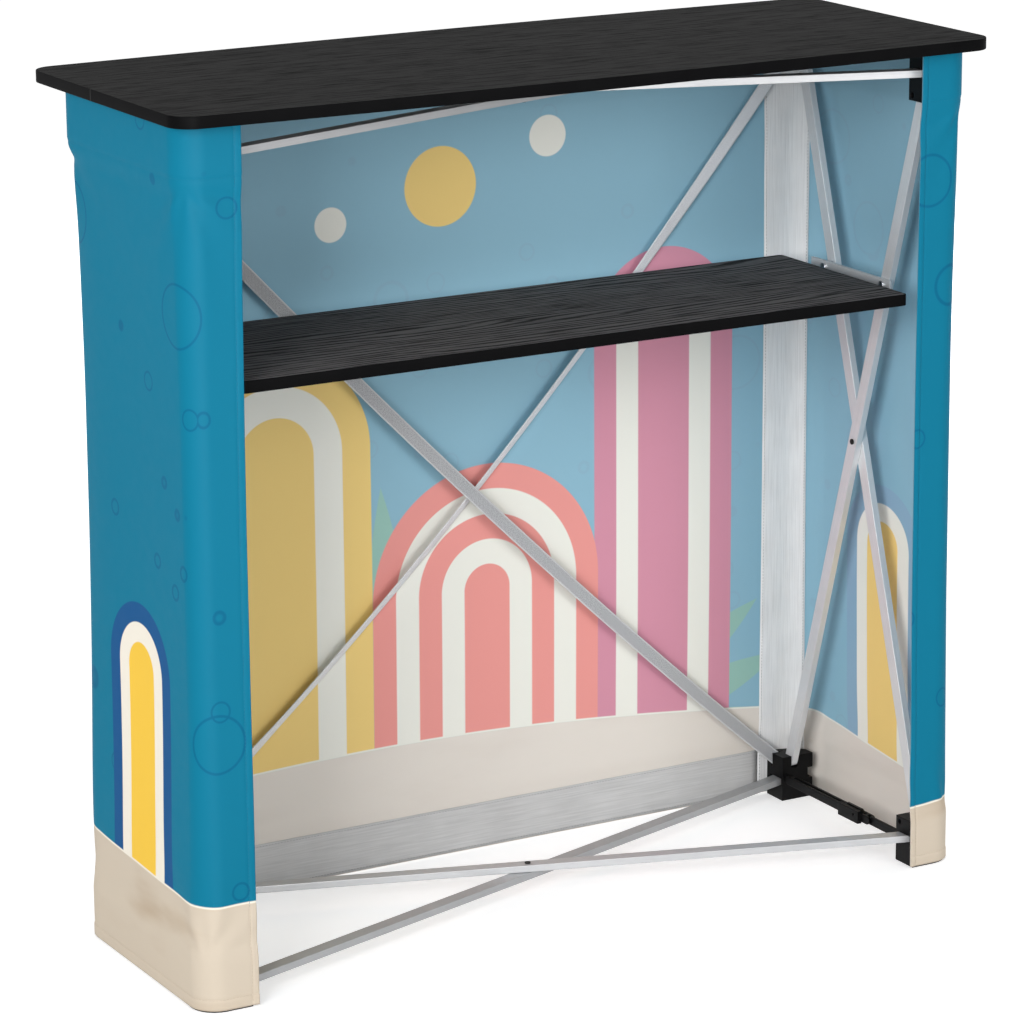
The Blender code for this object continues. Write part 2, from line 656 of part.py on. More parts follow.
def wrap_solid(plan, bottom, top, depth, thick):
    """Thin solid that follows the wrap, from a depth under its outside on inwards."""
    shape = bmesh.new()
    levels = wrap_levels(bottom, top)
    grids = []
    for inset in (depth, depth + thick):
        grid = []
        for z in levels:
            drawn = inset + waist(z)
            grid.append([
                shape.verts.new((x - out_x * drawn, y - out_y * drawn, z))
                for x, y, out_x, out_y in plan])
        grids.append(grid)
    outer, inner = grids
    rows = len(levels)
    columns = len(plan)
    for grid in grids:
        for i in range(rows - 1):
            for k in range(columns - 1):
                shape.faces.new((grid[i][k], grid[i][k + 1], grid[i + 1][k + 1], grid[i + 1][k]))
    for i in (0, rows - 1):
        for k in range(columns - 1):
            shape.faces.new((outer[i][k], outer[i][k + 1], inner[i][k + 1], inner[i][k]))
    for k in (0, columns - 1):
        for i in range(rows - 1):
            shape.faces.new((outer[i][k], outer[i + 1][k], inner[i + 1][k], inner[i][k]))
    return shape


def shortened(plan):
    """A run of the wrap's plan, drawn back by half a clearance at both ends."""
    run = list(plan)
    for end, inside in ((0, 1), (-1, -2)):
        x, y, out_x, out_y = run[end]
        back = Vector((run[inside][0] - x, run[inside][1] - y)).normalized() * CLEAR / 2
        run[end] = (x + back.x, y + back.y, out_x, out_y)
    return run


def add_wrap(material):
    """Fabric wrap: two flaps, two sides with their rounded corners, and the customer's face."""
    plan, marks = wrap_plan()
    bottom = WRAP_HEM_GAP
    top = TOP_UNDER - WRAP_TOP_GAP
    last = CORNER_STEPS + 1
    runs = {
        "wrap_flap_left": plan[:marks[0] + 1],
        "wrap_side_left": plan[marks[0]:marks[1] + last],
        "wrap_face": plan[marks[1] + CORNER_STEPS:marks[2] + 1],
        "wrap_side_right": plan[marks[2]:marks[3] + last],
        "wrap_flap_right": plan[marks[3] + CORNER_STEPS:],
    }
    for name, run in runs.items():
        body = wrap_solid(shortened(run), bottom, top, 0.0, FABRIC_THICK)
        add_object(name, body, material["fabric"])


def add_tapes(material):
    """Loop tape sewn inside the customer's face: two upright strips and two level ones."""
    depth = FABRIC_THICK + CLEAR
    bottom = WRAP_HEM_GAP
    top = TOP_UNDER - WRAP_TOP_GAP
    start = WRAP_WIDTH / 2 - WRAP_FAR_RADIUS - TAPE_FLAT
    plan, marks = wrap_plan()
    bend = plan[marks[2]:marks[2] + CORNER_STEPS // 2 + 1]
    for side in (-1, 1):
        run = [(side * start, WRAP_FAR, 0.0, 1.0)]
        run += [(side * x, y, side * out_x, out_y) for x, y, out_x, out_y in bend]
        body = wrap_solid(run, bottom, top, depth, TAPE_THICK)
        add_object(f"loop_tape_upright_{SIDE_NAMES[side]}", body, material["tape"])
    run = [(x, WRAP_FAR, 0.0, 1.0) for x in (-start + CLEAR, start - CLEAR)]
    low = (bottom + TAPE_LEVEL, bottom + TAPE_LEVEL + TAPE_LEVEL_WIDTH)
    high = (top - TAPE_LEVEL - TAPE_LEVEL_WIDTH, top - TAPE_LEVEL)
    for name, (z0, z1) in (("lower", low), ("upper", high)):
        add_object(f"loop_tape_{name}", wrap_solid(run, z0, z1, depth, TAPE_THICK), material["tape"])


def add_top_pads(material):
    """Pads glued under the counter top that sit on the four upper connectors."""
    for depth in (-1, 1):
        for side in (-1, 1):
            low = hub_place(side, depth, True, PAD_INSET, PAD_INSET, -CLEAR)
            high = low + Vector((-side * PAD_LENGTH, -depth * PAD_WIDTH, PAD_THICK))
            name = f"top_pad_{DEPTH_NAMES[depth]}_{SIDE_NAMES[side]}"
            add_object(name, box(low, high), material["rubber"])


def add_frame(material):
    """Connectors, four crossed strut pairs, lock arms, shelf rails and the two straps."""
    for upper in (False, True):
        for depth in (-1, 1):
            for side in (-1, 1):
                add_hub(side, depth, upper, material["moulded"])
        struts = [
            [level_pin(side, -1, upper), level_pin(-side, 1, upper)]
            for side in ((-1, 1) if not upper else (1, -1))]
        away = Vector((0, 0, 1 if upper else -1))
        add_pair("top" if upper else "floor", struts, away, material)
    for side in (-1, 1):
        outer = [side_pin(side, -1, False), side_pin(side, 1, True)]
        inner = [side_pin(side, 1, False), side_pin(side, -1, True)]
        height = rail_bolt_height()
        add_pair(
            f"side_{SIDE_NAMES[side]}", (outer, inner), Vector((side, 0, 0)), material,
            (height, height))
        add_shelf_rail(side, (outer, inner), material)
        add_lock_arm(side, material)
        add_latch_lever(side, material)
        add_catch(side, material)
    add_strap("face_strap_rear", strap_pin(-1, False), strap_pin(1, True), material)
    add_strap("face_strap_front", strap_pin(1, False), strap_pin(-1, True), material)
    add_strap_pins(material)


def main():
    clear_scene()
    material = {
        "laminate": make_material("black_laminate", (0.030, 0.031, 0.033), 0.45, 0.0),
        "edge_band": make_material("black_edge_band", (0.012, 0.012, 0.013), 0.40, 0.0),
        "aluminium": make_material("anodised_aluminium", (0.62, 0.63, 0.64), 0.35, 1.0),
        "steel": make_material("plated_steel", (0.55, 0.55, 0.56), 0.30, 1.0),
        "moulded": make_material("black_moulding", (0.015, 0.015, 0.016), 0.45, 0.0),
        "lever": make_material("black_lever", (0.020, 0.020, 0.021), 0.40, 0.0),
        "rubber": make_material("black_pad", (0.013, 0.013, 0.013), 0.80, 0.0),
        "fabric": make_material("stretch_fabric", (0.016, 0.215, 0.350), 0.85, 0.0),
        "tape": make_material("grey_loop_tape", (0.50, 0.50, 0.50), 0.90, 0.0),
        "webbing": make_material("grey_webbing", (0.36, 0.36, 0.38), 0.90, 0.0),
    }
    banded_board(
        "counter_top", (TOP_WIDTH, TOP_DEPTH), TOP_BOW, TOP_CORNER, TOP_THICK,
        Vector((0, 0, TOP_UNDER)), material)
    add_top_pads(material)
    banded_board(
        "shelf", (SHELF_WIDTH, SHELF_FAR - SHELF_NEAR), 0.0, SHELF_CORNER, SHELF_THICK,
        Vector((0, (SHELF_NEAR + SHELF_FAR) / 2, SHELF_UNDER)), material)
    add_frame(material)
    add_wrap(material)
    add_tapes(material)


main()
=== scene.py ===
# %% [markdown]
# # Dressing a pop-up counter
# The counter is a folding frame of aluminium struts and black moulded connectors, with a printed
# stretch cloth wrapped round three sides and two black wood-grain boards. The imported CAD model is
# the frame that everything is built around: it gives the place of each rigid piece, and the boxes
# of its nodes give the sizes that the cloth and the trim are worked out from.

# %% Load the frame
import math

import bpy
import numpy as np
from mathutils import Matrix, Vector


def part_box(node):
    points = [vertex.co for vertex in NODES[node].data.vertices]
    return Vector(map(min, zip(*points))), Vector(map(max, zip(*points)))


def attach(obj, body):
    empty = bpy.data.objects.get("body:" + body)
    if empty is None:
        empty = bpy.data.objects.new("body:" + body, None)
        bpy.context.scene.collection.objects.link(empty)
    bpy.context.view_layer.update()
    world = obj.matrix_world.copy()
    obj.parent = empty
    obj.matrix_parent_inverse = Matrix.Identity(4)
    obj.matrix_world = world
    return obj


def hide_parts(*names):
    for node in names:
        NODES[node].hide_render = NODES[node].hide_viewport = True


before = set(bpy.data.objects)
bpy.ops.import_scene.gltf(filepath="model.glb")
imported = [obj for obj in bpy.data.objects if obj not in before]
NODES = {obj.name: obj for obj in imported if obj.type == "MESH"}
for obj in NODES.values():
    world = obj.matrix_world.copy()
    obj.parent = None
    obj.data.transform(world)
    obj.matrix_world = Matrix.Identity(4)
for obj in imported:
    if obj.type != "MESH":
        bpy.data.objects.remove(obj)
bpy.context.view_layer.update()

# %% [markdown]
# ## Formulas that make shader nodes
# A finish is a small sum: so much grain, plus a little noise, times a mask. It could be wired node
# by node, but then the sum can't be read. Here one class wraps a socket, so that `1 - mask * 0.4`
# adds the Math nodes by itself, and one method makes every other kind of node.


# %% A socket that can be used in formulas
class Socket:
    """A value in a node tree. Sums and products of such values add Math nodes."""

    def __init__(self, tree, output=None):
        self.tree = tree
        self.output = output

    def node(self, kind, settings=None, sockets=None, output=0):
        """Adds a node: its type, its settings, set first, and its sockets' values or links."""
        made = self.tree.nodes.new(kind)
        for name, value in (settings or {}).items():
            setattr(made, name, value)
        for key, value in (sockets or {}).items():
            if isinstance(value, Socket):
                self.tree.links.new(value.output, made.inputs[key])
            else:
                made.inputs[key].default_value = value
        return Socket(self.tree, made.outputs[output] if made.outputs else None)

    def also(self, output):
        """Another output of the node that this value comes from."""
        return Socket(self.tree, self.output.node.outputs[output])

    def math(self, operation, other=0.0, first=None):
        """This value and another through a Math node, or the other way round."""
        pair = {0: self, 1: other} if first is None else {0: first, 1: self}
        return self.node("ShaderNodeMath", {"operation": operation}, pair)

    def __add__(self, other):
        return self.math("ADD", other)

    def __sub__(self, other):
        return self.math("SUBTRACT", other)

    def __rsub__(self, other):
        return self.math("SUBTRACT", first=other)

    def __mul__(self, other):
        return self.math("MULTIPLY", other)

    def __truediv__(self, other):
        return self.math("DIVIDE", other)

    def __abs__(self):
        return self.math("ABSOLUTE")

    def __lt__(self, other):
        return self.math("LESS_THAN", other)

    __radd__ = __add__


def ink(red, green, blue):
    """A colour as a picture editor gives it, 0 to 255, turned into the linear light of a shader."""
    share = np.array([red, green, blue]) / 255
    linear = np.where(share <= 0.04045, share / 12.92, ((share + 0.055) / 1.055) ** 2.4)
    return (*linear.tolist(), 1.0)


def ease(value, low, high):
    """0 below low, 1 above high, with a smooth S between."""
    sockets = {"Value": value, "From Min": low, "From Max": high}
    return value.node("ShaderNodeMapRange", {"interpolation_type": "SMOOTHSTEP"}, sockets)


def mixed(mask, first, second):
    """The first colour where the mask is 0, and the second where it is 1."""
    return mask.node("ShaderNodeMix", {"data_type": "RGBA"}, {0: mask, 6: first, 7: second}, 2)


def noise(place, scale, detail=2.0, rough=0.5):
    """Cloudy noise from 0 to 1, with its mean near a half."""
    sockets = {"Vector": place, "Scale": scale, "Detail": detail, "Roughness": rough}
    return place.node("ShaderNodeTexNoise", None, sockets)


def mapped(place, scale, location=(0, 0, 0)):
    """A pattern's own coordinates, stretched and shifted."""
    return place.node("ShaderNodeMapping", None, {0: place, "Scale": scale, "Location": location})


print("ready to write finishes as formulas")

# %% [markdown]
# ## Starting and ending a finish
# Every finish on the counter starts with an empty tree and the piece's own Object coordinates, which
# are metres in the frame, and ends in one Principled shader. What varies over the surface is linked;
# what is the same all over is written on the shader's own socket.


# %% Helpers that start and end a finish
def start_finish(name):
    """A new material with an empty tree, and the Object coordinates in it."""
    material = bpy.data.materials.new(name)
    material.use_nodes = True
    material.node_tree.nodes.clear()
    place = Socket(material.node_tree).node("ShaderNodeTexCoord", output="Object")
    return material, place


def bumped(height, strength, distance):
    """The surface normal tilted by a height."""
    sockets = {"Height": height, "Strength": strength, "Distance": distance}
    return height.node("ShaderNodeBump", None, sockets)


def end_finish(place, sockets):
    """The Principled shader with these sockets, on the material's output."""
    shader = place.node("ShaderNodeBsdfPrincipled", None, sockets)
    place.node("ShaderNodeOutputMaterial", None, {"Surface": shader})


def dress(names, material):
    """Gives CAD nodes a finish in place of the plain one that they came with."""
    for name in names:
        NODES[name].data.materials.clear()
        NODES[name].data.materials.append(material)
    print(material.name, "on", len(names), "nodes")


print("a finish starts with Object coordinates and ends in a Principled shader")

# %% [markdown]
# ## Black wood-grain laminate
# The boards are covered in a black printed laminate pressed with a wood grain: dark pores a few
# centimetres long lie along the board, gathered into growth lines that drift across it. A picture
# would do, but here the grain is noise stretched over twenty times along the board, and the growth
# lines are a sine of the distance across, pushed about by slow noise, so it never repeats. The shelf
# shows more of this figure than the top does.


# %% Laminate finish
RING_PITCH = 780
RING_DRIFT = 95


def laminate(name, shift, tone, figure, grain, warm):
    """Growth lines are sin(across + slow noise), broken up by pores, noise stretched along X."""
    material, place = start_finish(name)
    slow = noise(mapped(place, (1.5, 7.0, 1.0), shift), 1.0, 2.0)
    across = place.node("ShaderNodeSeparateXYZ", None, {0: place}).also("Y")
    rings = (across * RING_PITCH + slow * RING_DRIFT).math("SINE")
    pores = noise(mapped(place, (*grain, grain[1]), shift), 1.0, 3.0, 0.60)
    fine = noise(mapped(place, (70.0, 1700.0, 1700.0), shift), 1.0, 2.0)
    line = ease(rings, -0.2, 0.9)
    pore = ease(pores + line * (0.17 * figure), 0.50, 0.68)
    hue = np.array([warm, 1.0, 1.0])
    light = mixed(ease(slow, 0.30, 0.70), ink(*(tone - 3) * hue), ink(*(tone + 4) * hue))
    grained = mixed(fine, ink(*tone * 0.80 * hue), light)
    dark = ink(*tone * 0.30 * hue)
    end_finish(place, {
        "Base Color": mixed(pore * (0.45 + 0.45 * figure), grained, dark),
        "Roughness": 0.62 + pore * 0.22,
        "Normal": bumped(fine * 0.25 - pore, 0.35, 0.0003),
        "Specular IOR Level": 0.02,
    })
    return material


dress(["counter_top_board"], laminate(
    "laminate_top", shift=(3.1, 0.4, 0.0), tone=38, figure=0.35, grain=(20.0, 420.0), warm=1.0))
# Painted light: the shelf is the same black laminate as the top, painted much paler to stand in for the
# light it lacks in the top's shade.
dress(["shelf_board"], laminate(
    "laminate_shelf", shift=(8.7, 2.6, 0.0), tone=118, figure=1.0, grain=(13.0, 380.0), warm=1.03))

# %% [markdown]
# ## Black moulded nylon, levers and pads
# The connectors and the lock arms are moulded nylon with a fine spark-eroded skin and softly
# broken edges. The edges could be bevelled in the mesh, but these solids are cut by many slots,
# so the Bevel node rounds the shading instead. The levers are the same plastic worn a little
# smoother by fingers, the pads under the top are dull rubber, and the rivets that the struts turn
# on are blackened.


# %% Moulded finishes
MOULDED_EDGE = 0.0012


def moulded(name, tone, rough, grain):
    """Two scales of noise, one for the eroded skin and one for the flow of the plastic."""
    material, place = start_finish(name)
    skin = noise(place, 1400.0, 2.0)
    flow = noise(place, 38.0, 2.0)
    colour = mixed(flow, ink(tone - 4, tone - 4, tone - 3), ink(tone + 6, tone + 6, tone + 7))
    soft = place.node("ShaderNodeBevel", {"samples": 6}, {"Radius": MOULDED_EDGE})
    sockets = {"Height": skin, "Strength": grain, "Distance": 0.0001, "Normal": soft}
    end_finish(place, {
        "Base Color": colour,
        "Roughness": rough + (flow - 0.5) * 0.16,
        "Normal": place.node("ShaderNodeBump", None, sockets),
        "Specular IOR Level": 0.10,
    })
    return material


def named(*starts):
    """CAD nodes whose names start in one of these ways."""
    return [name for name in NODES if name.startswith(starts)]


RIVETS = [name for name in NODES if name.endswith("pivot_bolt")]
dress(named("connector_", "lock_"), moulded("moulded_nylon", tone=10, rough=0.42, grain=0.30))
dress(named("latch_lever"), moulded("lever_nylon", tone=14, rough=0.34, grain=0.15))
dress(named("top_pad"), moulded("pad_rubber", tone=16, rough=0.85, grain=0.60))
dress(RIVETS, moulded("black_rivet", tone=30, rough=0.40, grain=0.10))

# %% [markdown]
# ## Anodised aluminium
# The struts and the shelf rails are extruded and then anodised to a satin silver. The die leaves
# faint lines along the bar. Each strut leans its own way, so the lines are noise on coordinates
# that are squeezed along that strut's own direction: the place, less most of its part along it.
# The anodic film is milky, so the shader is less than a third metal. The bars don't all read alike in
# the photograph, so each has a tone that goes with its direction, and this is painted light and shade:
# the side bars are painted palest, as if lit, and the duller bar of each level pair is painted shade.


# %% Aluminium finish
BAR_EDGE = 0.0008
METAL_SHARE = 0.30


def anodised(name, along, tone):
    """Lines along a bar: noise at place - 0.99 (place . along) along."""
    material, place = start_finish(name)
    dot = {"operation": "DOT_PRODUCT"}
    reach = place.node("ShaderNodeVectorMath", dot, {0: place, 1: tuple(along)}, "Value")
    scale = {0: tuple(along), "Scale": reach * 0.99}
    run = place.node("ShaderNodeVectorMath", {"operation": "SCALE"}, scale)
    squeezed = place.node("ShaderNodeVectorMath", {"operation": "SUBTRACT"}, {0: place, 1: run})
    lines = noise(squeezed, 900.0, 2.0)
    cloud = noise(place, 30.0, 2.0)
    soft = place.node("ShaderNodeBevel", {"samples": 6}, {"Radius": BAR_EDGE})
    sockets = {"Height": lines, "Strength": 0.12, "Distance": 0.0002, "Normal": soft}
    dark = ink(tone - 16, tone - 14, tone - 12)
    light = ink(tone + 16, tone + 17, tone + 19)
    end_finish(place, {
        "Base Color": mixed(lines * 0.6 + cloud * 0.4, dark, light),
        "Metallic": METAL_SHARE,
        "Roughness": 0.32 + lines * 0.16,
        "Normal": place.node("ShaderNodeBump", None, sockets),
    })
    return material


print("bars:", METAL_SHARE, "metal, with edges that look rounded by", BAR_EDGE, "m")

# %% Bars and rails
# Painted light and shade: the side bars' tone is painted lighter, and the duller level bars' tone is
# painted darker, than the bars' own silver.
SIDE_PAINTED_LIGHT_TONE = 218
RAIL_TONE = 208
LEVEL_TONE = 190
PAINTED_SHADE_TONE = 168


def long_axis(name):
    """Direction of a node's longest spread, from the covariance of its points."""
    mesh = NODES[name].data
    points = np.empty(len(mesh.vertices) * 3)
    mesh.vertices.foreach_get("co", points)
    spread = np.cov(points.reshape(-1, 3).T)
    return np.linalg.eigh(spread)[1][:, -1]


def painted_light_bar_tone(bar, axis):
    """Painted light and shade: side bars are painted brightest; in a level pair the bar towards +X +Y is
    painted darker.
    """
    if bar.startswith("side_"):
        return SIDE_PAINTED_LIGHT_TONE
    return PAINTED_SHADE_TONE if axis[0] * axis[1] > 0 else LEVEL_TONE


for bar in [name for name in NODES if name.endswith(("_strut_outer", "_strut_inner"))]:
    axis = long_axis(bar)
    dress([bar], anodised("anodised_" + bar, axis, painted_light_bar_tone(bar, axis)))
RAIL_FINISH = anodised("anodised_rail", (0.0, 1.0, 0.0), RAIL_TONE)
dress(["shelf_rail_left", "shelf_rail_right"], RAIL_FINISH)

# %% [markdown]
# ## Plated steel
# The rail bolts and the pins that hold the straps are zinc-plated: bright, slightly blue, with a
# patchy bloom. A cloud of noise moves both the colour and the gloss.


# %% Steel finish
def plated():
    """Bright metal with a soft cloud in its gloss."""
    material, place = start_finish("plated_steel")
    bloom = noise(place, 420.0, 3.0)
    end_finish(place, {
        "Base Color": mixed(bloom, ink(168, 171, 176), ink(214, 216, 219)),
        "Metallic": 1.0,
        "Roughness": 0.20 + bloom * 0.22,
    })
    return material


dress(named("shelf_rail_bolt", "strap_pin"), plated())

# %% [markdown]
# ## Putting arrays into meshes
# Every new piece is a grid of points worked out at once with numpy. A cloth or a tape is a shell:
# an outer grid, an inner grid a thickness below it, and a rim that closes the gap all round.


# %% Grid helpers
def grid_quads(index):
    """Faces of a grid of point numbers: each joins a point with its right, diagonal and upper one."""
    a = index[:-1, :-1]
    b = index[:-1, 1:]
    c = index[1:, 1:]
    d = index[1:, :-1]
    return np.stack([a, b, c, d], axis=-1).reshape(-1, 4)


def shell(outer, inner):
    """Closed sheet: outer grid, inner grid turned round, and a rim along the four borders."""
    rows, columns = outer.shape[:2]
    top = np.arange(rows * columns).reshape(rows, columns)
    under = top + rows * columns
    border = np.concatenate([top[0, :-1], top[:-1, -1], top[-1, :0:-1], top[:0:-1, 0]])
    after = np.roll(border, -1)
    rim = np.stack([after, border, border + rows * columns, after + rows * columns], axis=-1)
    points = np.concatenate([outer.reshape(-1, 3), inner.reshape(-1, 3)])
    return points, np.concatenate([grid_quads(top), grid_quads(under)[:, ::-1], rim])


def add_piece(name, points, quads, material, body="frame", flat=None):
    """Mesh object at the origin from arrays of points and of four-cornered faces.

    Cloth also gets flat, its own coordinates in metres at each point, as a UV map.
    """
    mesh = bpy.data.meshes.new(name)
    mesh.from_pydata(points.tolist(), [], quads.tolist())
    mesh.polygons.foreach_set("use_smooth", np.ones(len(quads), bool))
    mesh.materials.append(material)
    if flat is not None:
        layer = mesh.uv_layers.new(name="cloth")
        layer.uv.foreach_set("vector", flat[quads.ravel()].astype(np.float32).ravel())
    piece = bpy.data.objects.new(name, mesh)
    bpy.context.scene.collection.objects.link(piece)
    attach(piece, body)
    print(name + ":", len(points), "points,", len(quads), "faces")
    return piece


print("the smallest shell has", len(shell(*np.zeros((2, 2, 2, 3)))[1]), "faces")

# %% [markdown]
# ## Edge bands
# Both boards have a black band glued round their edge, with its corners rounded over by a trimmer.
# The CAD band is a square strip. Here a rounded profile is carried round the board's outline, which
# is straight at the ends, bowed along the sides and turned through a quarter circle at the corners.


# %% Outline and profile of an edge band
BAND_THICK = 0.0012
BAND_ROUND = 0.0009


def board_outline(low, high, corner, bow, count):
    """Quarter circles joined by straight ends and by long edges that bulge as bow (1 - t^2)."""
    half = (high - low) / 2
    middle = (high + low) / 2
    turn = np.radians(np.linspace(0, 90, 11))
    along = np.linspace(1, -1, count)[1:-1]
    flat = half[:2] - np.array([corner, corner + bow])
    arc_a = flat + corner * np.stack([np.cos(turn), np.sin(turn)], axis=-1)
    edge = np.stack([flat[0] * along, flat[1] + corner + bow * (1 - along ** 2)], axis=-1)
    arc_b = np.stack([-arc_a[::-1, 0], arc_a[::-1, 1]], axis=-1)
    upper = np.concatenate([arc_a, edge, arc_b])
    return np.concatenate([upper, -upper]) + middle[:2]


def edge_band(name, node, corner, bow, material, body):
    """Rounded strip: profile (depth under the outline, height) carried round the outline."""
    low, high = (np.array(v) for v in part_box(node))
    outline = board_outline(low, high, corner, bow, 60)
    step = np.roll(outline, -1, axis=0) - np.roll(outline, 1, axis=0)
    out = np.stack([step[:, 1], -step[:, 0]], axis=-1)
    out /= np.linalg.norm(out, axis=1, keepdims=True)
    turn = np.radians(np.linspace(0, 90, 6))
    bend_in = BAND_ROUND * (1 - np.sin(turn))
    bend_up = BAND_ROUND * (1 - np.cos(turn))
    depth = np.concatenate([[BAND_THICK], bend_in, bend_in[::-1], [BAND_THICK]])
    height = np.concatenate([[low[2]], low[2] + bend_up, high[2] - bend_up[::-1], [high[2]]])
    ring = outline[None] - depth[:, None, None] * out[None]
    points = np.concatenate([ring, np.broadcast_to(height[:, None, None], ring[..., :1].shape)], axis=-1)
    index = np.arange(points.shape[0] * points.shape[1]).reshape(points.shape[:2])
    closed = np.concatenate([index, index[:, :1]], axis=1)
    closed = np.concatenate([closed, closed[:1]], axis=0)
    piece = add_piece(name, points.reshape(-1, 3), grid_quads(closed), material, body)
    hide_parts(node)


print("band:", BAND_THICK, "m thick, rounded by", BAND_ROUND, "m")

# %% [markdown]
# The band is a thin plastic edging. It has a fine pebbled skin, and where its two ends meet, near the
# middle of the left end of the top, a butt joint shows as a dull hairline.


# %% Edge band finish
JOINT_HALF = 0.0006
LEFT_END = -0.49


def banding(name, joint):
    """Pebbled black, with a hairline where |y - joint| is small on the left end."""
    material, place = start_finish(name)
    pebble = noise(place, 1100.0, 2.0)
    cloud = noise(place, 26.0, 2.0)
    parts = place.node("ShaderNodeSeparateXYZ", None, {0: place})
    line = (abs(parts.also("Y") - joint) < JOINT_HALF) * (parts.also("X") < LEFT_END)
    colour = mixed(cloud, ink(7, 7, 8), ink(15, 15, 16))
    end_finish(place, {
        "Base Color": mixed(line, colour, ink(60, 60, 60)),
        "Roughness": 0.42 + pebble * 0.18,
        "Normal": bumped(pebble - line * 3.0, 0.22, 0.0002),
        "Specular IOR Level": 0.02,
    })
    return material


BANDING = banding("edge_banding", joint=0.0245)
edge_band(
    "counter_top_edge", "counter_top_edge_band", corner=0.027, bow=0.008,
    material=BANDING, body="counter_top")
edge_band("shelf_edge", "shelf_edge_band", corner=0.006, bow=0.0, material=BANDING, body="shelf")

# %% [markdown]
# ## The wrap's path
# The cloth is one long strip. It starts as a narrow flap on the open side, turns a soft corner,
# runs along one end, round to the customer's face and back again on the other end. Its plan is
# worked out from the direction that it faces: the angle is constant along a straight run and turns
# evenly through a corner, and the running sum of the direction gives the place.

# %% Plan of the wrap
FACE_LOW, FACE_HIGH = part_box("wrap_face")
SIDE_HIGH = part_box("wrap_side_right")[1]
FLAP_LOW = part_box("wrap_flap_right")[0]
CLOTH_THICK = 0.0008
NEAR_RADIUS = 0.030
FAR_RADIUS = 0.045
FLAP_RUN = SIDE_HIGH.x - NEAR_RADIUS - FLAP_LOW.x
SIDE_RUN = FACE_HIGH.y - FAR_RADIUS - NEAR_RADIUS - FLAP_LOW.y
FACE_RUN = 2 * (SIDE_HIGH.x - FAR_RADIUS)
NEAR_RUN = NEAR_RADIUS * math.pi / 2
FAR_RUN = FAR_RADIUS * math.pi / 2
RUNS = [FLAP_RUN, NEAR_RUN, SIDE_RUN, FAR_RUN, FACE_RUN, FAR_RUN, SIDE_RUN, NEAR_RUN, FLAP_RUN]
RUN_ENDS = np.concatenate([[0.0], np.cumsum(RUNS)])
RUN_ANGLES = np.radians([270, 270, 180, 180, 90, 90, 0, 0, -90, -90])
WRAP_LENGTH = RUN_ENDS[-1]
WRAP_BOTTOM = FACE_LOW.z
WRAP_TOP = FACE_HIGH.z


def wrap_plan(s):
    """Place (x, y) and outward direction at a distance s along the wrap."""
    fine = np.linspace(0, WRAP_LENGTH, 60001)
    facing = np.interp((fine[1:] + fine[:-1]) / 2, RUN_ENDS, RUN_ANGLES)
    step = fine[1]
    x = np.concatenate([[0.0], np.cumsum(np.sin(facing)) * step]) - FLAP_LOW.x
    y = np.concatenate([[0.0], np.cumsum(-np.cos(facing)) * step]) + FLAP_LOW.y
    angle = np.interp(s, RUN_ENDS, RUN_ANGLES)
    return np.interp(s, fine, x), np.interp(s, fine, y), np.cos(angle), np.sin(angle)


print("wrap:", round(WRAP_LENGTH, 4), "m long,", round(WRAP_TOP - WRAP_BOTTOM, 4), "m high")

# %% [markdown]
# ## How the cloth hangs
# The cloth is stretched over the connectors at its four corners, top and bottom, and hangs free
# between them. So it is full at the connectors, drawn in between them, and pleats fan out from
# where a connector ends. A cloth simulation would find this too, but it is so taut that the sum of
# a waist, a fan of pleats that die away and a few slow ripples gives it with the creases in place.

# %% Hang of the cloth
LOW_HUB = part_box("connector_lower_far_left")[1].z
HIGH_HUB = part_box("connector_upper_far_left")[0].z
CORNERS = (RUN_ENDS[[1, 3, 5, 7]] + RUN_ENDS[[2, 4, 6, 8]]) / 2
SIDES = (RUN_ENDS[[2, 6]] + RUN_ENDS[[3, 7]]) / 2
WAIST = 0.0045
SIDE_WAIST = 0.0030
CORNER_WAIST = 0.0045
SIDE_SPREAD = 0.09
CORNER_SPREAD = 0.045
STEP_RUN = 0.022
WAIST_RUN = 0.30
PLEAT_COUNTS = (9, 7, 8, 10)
PLEAT_CORE = 0.022
PLEAT_REACH = 0.085
PLEAT_HEIGHT = 0.0016
RIPPLE_HEIGHT = 0.0012


def smoothstep(t):
    """0 below 0, 1 above 1, and 3 t^2 - 2 t^3 between."""
    t = np.clip(t, 0, 1)
    return t * t * (3 - 2 * t)


def bell(distance, width):
    """Smooth bump exp(-(d / width)^2)."""
    return np.exp(-(distance / width) ** 2)


def pleats(s, z, centre, level, count):
    """Fan of folds about a point: cos(count x angle), gone at the point and far from it."""
    across = s - centre
    up = z - level
    reach = np.hypot(across, up)
    fade = np.exp(-reach / PLEAT_REACH) * (1 - bell(reach, PLEAT_CORE))
    return fade * np.cos(count * np.arctan2(up, across) + 40 * centre)


